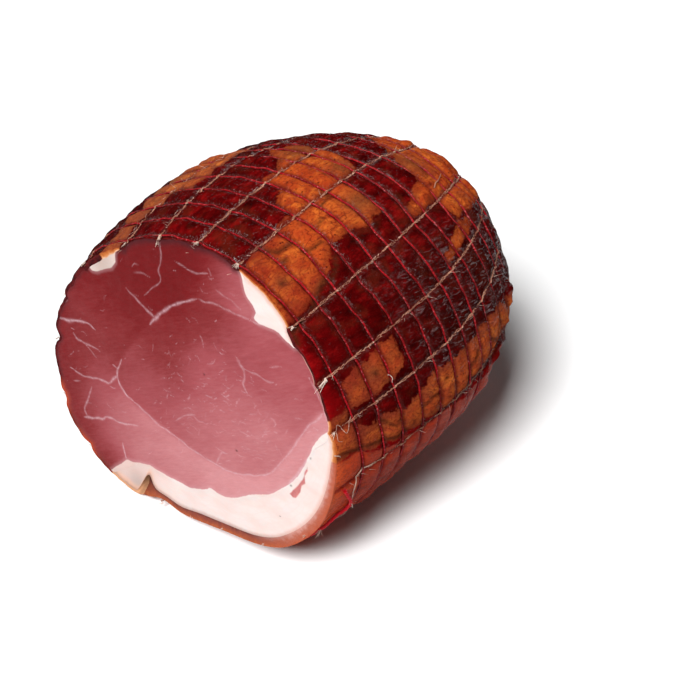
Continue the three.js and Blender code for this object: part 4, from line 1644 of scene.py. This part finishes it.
def amber_colour(surface, rind):
    """Mottled, redder and browner towards its edges, with veins and dark specks, and a painted sheen on its
    far right and left sides.
    """
    mottle = surface.noise(5.5, 6, 0.66, (1, 0.5, 1), 0.6)
    amber = surface.ramp(mottle, [(0.28, (0.11, 0.010, 0.004)), (0.41, (0.28, 0.034, 0.008)),
                                  (0.54, (0.43, 0.078, 0.013)), (0.70, (0.60, 0.155, 0.022))])
    front, side = surface.field("front"), surface.field("side")
    network = surface.cells(5.5, "DISTANCE_TO_EDGE", (1, 0.6, 1), 0.9)
    veins = surface.times(surface.span(network, 0.0, 0.05, 0.75, 0.0),
                          surface.span(surface.noise(7), 0.42, 0.58))
    specks = surface.times(surface.span(surface.cells(2.1), 0.14, 0.26, 1.0, 0.0),
                           surface.span(surface.noise(6), 0.46, 0.6))
    rust = surface.times(surface.span(front, 0.5, 0.8, 0.55, 0.0), surface.span(front, 0.02, 0.1))
    rust = surface.times(rust, surface.span(surface.noise(6, 4), 0.35, 0.6, 0.3, 1.0))
    fine = surface.noise(1.0, 4, 0.75, (1, 0.6, 1))
    return surface.coats(
        amber,
        (surface.span(surface.noise(16, 3, 0.5), 0.4, 0.62, 0.0, 0.6), (0.36, 0.040, 0.009)),
        (surface.span(rind, 0.3, 4.0, 0.7, 0.0), (0.15, 0.018, 0.006)),
        (veins, (0.12, 0.012, 0.005)),
        (specks, (0.05, 0.006, 0.003)),
        (surface.span(surface.noise(10, 4, 0.7), 0.54, 0.66, 0.0, 0.5), (0.12, 0.024, 0.009)),
        (surface.field("stain", 0.75), (0.15, 0.045, 0.015)),
        (rust, (0.17, 0.011, 0.008)),
        # A painted sheen: a little paler on the far right, duller on the left side.
        (surface.span(side, -0.85, -0.5, 0.07, 0.0), (0.60, 0.21, 0.10)),
        (surface.span(side, 0.6, 0.85, 0.0, 0.25), (0.20, 0.12, 0.06)),
        (surface.span(fine, 0.36, 0.52, 0.6, 0.0), (0.12, 0.012, 0.005)))


def lower_rind_colour(surface):
    """Brown red, brighter towards the cut, with dusty spots."""
    streaks = surface.noise(7, 5, 0.65, (1, 0.3, 1))
    dusty = surface.noise(1.1, 4, 0.7, (1, 0.5, 1))
    return surface.coats(
        surface.ramp(streaks, [(0.3, (0.18, 0.014, 0.006)), (0.52, (0.32, 0.030, 0.013)),
                               (0.75, (0.50, 0.068, 0.030))]),
        (surface.field("front", 0.8), (0.66, 0.062, 0.012)),
        (surface.field("beside_cut", 0.75), (0.58, 0.105, 0.03)),
        (surface.span(dusty, 0.48, 0.62, 0.0, 0.4), (0.14, 0.020, 0.010)))


def rim_colour(surface, is_rind, is_lower):
    """The section of the skin at the cut, dark outside and lighter towards the fat."""
    inner = surface.plus(surface.field("inner"), surface.span(surface.noise(2.5, 4), 0.3, 0.7, -0.15, 0.15))
    thick = surface.ramp(inner, [(0.0, (0.46, 0.12, 0.045)), (0.3, (0.36, 0.085, 0.043)),
                                 (0.75, (0.25, 0.065, 0.045)), (1.0, (0.17, 0.05, 0.042))])
    right = surface.ramp(inner, [(0.0, (0.46, 0.095, 0.045)), (0.5, (0.47, 0.135, 0.085)),
                                 (1.0, (0.61, 0.30, 0.25))])
    thick = surface.mix(surface.field("below"), right, thick)
    thick = surface.mix(surface.span(surface.field("crust"), 0.3, 0.7), thick, (0.72, 0.36, 0.19))
    amber = surface.ramp(inner, [(0.0, (0.42, 0.10, 0.022)), (0.5, (0.58, 0.19, 0.055)),
                                 (1.0, (0.80, 0.50, 0.33))])
    lean = surface.ramp(surface.noise(4, 4), [(0.35, (0.035, 0.005, 0.006)), (0.65, (0.13, 0.012, 0.013))])
    lean = surface.mix(surface.field("red"), lean, (0.42, 0.060, 0.026))
    return surface.mix(is_lower, surface.mix(is_rind, lean, amber), thick)


def wrinkle_lines(surface):
    return surface.noise(1.5, 4, 0.65, (1, 0.2, 1), 1.2)


def skin_gloss(surface, is_rind, is_lower, at_rim):
    """Small wet glints on the lean, fewer on the rind, none on the section at the cut."""
    beside_thread = surface.span(surface.field("thread"), 0.5, 3.0, 0.10, -0.03)
    fine = surface.plus(surface.noise(0.9, 4, 0.75, (1, 0.6, 1)), beside_thread)
    wet = surface.times(surface.span(fine, 0.56, 0.67, 0.0, 1.0),
                        surface.span(surface.field("side"), -0.35, 0.3, 0.25, 1.0))
    wet = surface.times(wet, surface.span(surface.field("side"), 0.72, 0.95, 1.0, 0.25))
    lines = surface.span(wrinkle_lines(surface), 0.52, 0.66, 0.0, 0.9)
    wet = surface.math("MAXIMUM", wet, surface.times(lines, surface.field("wrinkled")))
    level = surface.blend(is_rind, wet, surface.times(wet, 0.35))
    level = surface.blend(is_lower, level, 0.03)
    return surface.blend(at_rim, level, 0.03)


def skin_relief(surface):
    """Folds, wrinkles, the lines of the dry meat and a fine grain."""
    dry_lines = surface.times(wrinkle_lines(surface), surface.field("wrinkled"))
    normal = surface.bump(surface.noise(4.5, 4, 0.55, (0.8, 1, 0.8), 0.8), 0.55)
    normal = surface.bump(surface.noise(1.6, 5, 0.65, (1, 0.4, 1), 0.7), 0.5, normal)
    normal = surface.bump(dry_lines, 0.7, normal)
    return surface.bump(surface.noise(0.8, 3, 0.6), 0.22, normal)


def smoked_outside():
    surface = Surface("smoked_outside")
    drift = surface.swing(surface.noise(6, 5, 0.65), 8)
    rind = surface.plus(surface.field("rind"), drift)
    is_rind = surface.span(rind, -0.5, 0.6)
    lower = surface.plus(surface.field("lower"), surface.times(drift, 0.5))
    is_lower = surface.span(lower, -0.6, 0.6)
    at_rim = surface.span(surface.field("deep"), 0.0, 0.05)
    # Painted shade in the grooves where the threads press in.
    groove_shade = surface.mix(is_lower, (0.08, 0.004, 0.003), (0.20, 0.005, 0.004))
    colour = surface.coats(
        smoked_lean_colour(surface, lower),
        (is_rind, amber_colour(surface, rind)),
        (is_lower, lower_rind_colour(surface)),
        (surface.span(surface.field("thread"), 0.3, 2.0, 0.75, 0.0), groove_shade),
        (at_rim, rim_colour(surface, is_rind, is_lower)),
        # Painted shade in the pits, the creases and the fold.
        (surface.field("pit"), (0.045, 0.012, 0.005)))
    glossy = surface.span(surface.noise(3.5, 4), 0.3, 0.7, 0.14, 0.30)
    return surface.finish(
        Base_Color=colour, Normal=skin_relief(surface), Roughness=surface.blend(at_rim, glossy, 0.6),
        Specular_IOR_Level=skin_gloss(surface, is_rind, is_lower, at_rim))


def thread_material(name, dark, light, speck, roughness, worn):
    surface = Surface(name, Roughness=roughness, Specular_IOR_Level=0.12)
    colour = surface.coats(
        surface.ramp(surface.noise(0.7, 4, 0.7), [(0.32, dark), (0.64, light)]),
        (surface.span(surface.noise(8, 3), 0.4, 0.62, 0.0, 0.75), dark),
        (surface.span(surface.noise(0.9, 2, 0.5), 0.60, 0.68, 0.0, 0.65), speck),
        (surface.field("wear"), worn))
    return surface.finish(Base_Color=colour, Normal=surface.bump(surface.noise(0.35, 3), 0.12))


def build_ham():
    outside = smoked_outside()
    fat = cut_fat()
    red = thread_material("red_thread", (0.09, 0.001, 0.002), (0.45, 0.006, 0.012),
                          (0.56, 0.14, 0.15), 0.5, (0.66, 0.012, 0.024))
    beige = thread_material("beige_string", (0.15, 0.032, 0.018), (0.62, 0.31, 0.20),
                            (0.84, 0.58, 0.46), 0.6, (0.80, 0.66, 0.56))
    dress(smoked_skin(), outside, "lean", "lean_meat")
    dress(lean(), cut_lean(), "lean", "lean_meat")
    dress(fat_layer("lower", 420), fat, "fat", "fat_layer_lower")
    dress(fat_layer("side", 100), fat, "fat", "fat_layer_side")
    dress(net_rings(), red, "net_thread", "netting")
    dress(net_strings(), beige, "string", "netting")
    dress(frayed_ends(), beige, "string")
    dress(loose_end(), red, "net_thread")
    dress(tie_off(), beige, "string", "net_knot")


# The view: the photograph's angle on the ham in degrees, the rest in millimetres.
VIEW_AZIMUTH = 42.303
VIEW_ELEVATION = 33.506
VIEW_DISTANCE = 722.0
VIEW_TARGET = np.array([43.21, -27.94, 83.27])
LENS = 85
FILM_WIDTH = 36

# Soft boxes: azimuth and elevation in degrees, distance and size in metres, watts.
LIGHTS = {"key": (16, 49, 2.5, 1.1, 88), "top": (200, 76, 2.5, 1.6, 26),
          "sheen": (139, 8, 1.5, 0.5, 3.2), "back": (222, 18, 2.5, 1.6, 7)}
FLOOR_LIGHT = (22, 46, 14, 4.5, 3450)
LIT_POINT = np.array([0, 0, 0.07])
FLOOR_HALF = 4.0


def aim(thing, azimuth, elevation, distance, target):
    """Puts a camera or light where it looks at a target, with angles in degrees."""
    turn, rise = azimuth * DEGREE, elevation * DEGREE
    back = np.array([math.sin(turn) * math.cos(rise), -math.cos(turn) * math.cos(rise), math.sin(rise)])
    thing.location = Vector(target + back * distance)
    thing.rotation_euler = Vector(back).to_track_quat("Z", "Y").to_euler()


def add_camera():
    data = bpy.data.cameras.new("camera")
    data.lens = LENS
    data.sensor_width = FILM_WIDTH
    data.clip_start = 0.01
    camera = add_object("camera", data)
    aim(camera, VIEW_AZIMUTH, VIEW_ELEVATION, VIEW_DISTANCE * MM, VIEW_TARGET * MM)
    bpy.context.scene.camera = camera


def add_light(name, azimuth, elevation, distance, size, watts):
    data = bpy.data.lights.new(name, "AREA")
    data.shape = "SQUARE"
    data.size = size
    data.energy = watts
    light = add_object(name, data)
    aim(light, azimuth, elevation, distance, LIT_POINT)
    return light


def link_light(light, thing, state):
    """INCLUDE lets a light reach nothing but one thing, EXCLUDE keeps it off that thing."""
    linked = bpy.data.collections.new(light.name + "_linked")
    linked.objects.link(thing)
    linked.collection_objects[0].light_linking.link_state = state
    light.light_linking.receiver_collection = linked


def floor_sheet(name, height, paleness):
    mesh = bpy.data.meshes.new(name)
    corners = [(x * FLOOR_HALF, y * FLOOR_HALF, height) for x, y in ((-1, -1), (1, -1), (1, 1), (-1, 1))]
    mesh.from_pydata(corners, [], [(0, 1, 2, 3)])
    paint = (paleness, paleness, paleness, 1)
    mesh.materials.append(Surface(name, Roughness=0.8, Specular_IOR_Level=0.1, Base_Color=paint).material)
    floor = add_object(name, mesh)
    return floor


def add_floor():
    """A white floor for the camera, and a greyer one under it that lights the ham from below."""
    seen = floor_sheet("floor", 0, 0.97)
    seen.visible_diffuse = False
    seen.visible_glossy = False
    seen.visible_shadow = False
    below = floor_sheet("floor_below", -1 * MM, 0.5)
    below.visible_camera = False
    return seen


def add_lights(floor):
    """The same light from the front, stronger on the floor than on the ham, as in the photograph."""
    for name, settings in LIGHTS.items():
        link_light(add_light(name, *settings), floor, "EXCLUDE")
    link_light(add_light("on_floor", *FLOOR_LIGHT), floor, "INCLUDE")


def add_world():
    world = bpy.data.worlds.new("world")
    world.use_nodes = True
    world.node_tree.nodes["Background"].inputs["Color"].default_value = (1, 0.99, 0.98, 1)
    world.node_tree.nodes["Background"].inputs["Strength"].default_value = 0.06
    bpy.context.scene.world = world


def set_view():
    scene = bpy.context.scene
    scene.view_settings.view_transform = "Standard"
    scene.view_settings.look = "None"


add_camera()
build_ham()
add_lights(add_floor())
add_world()
set_view()
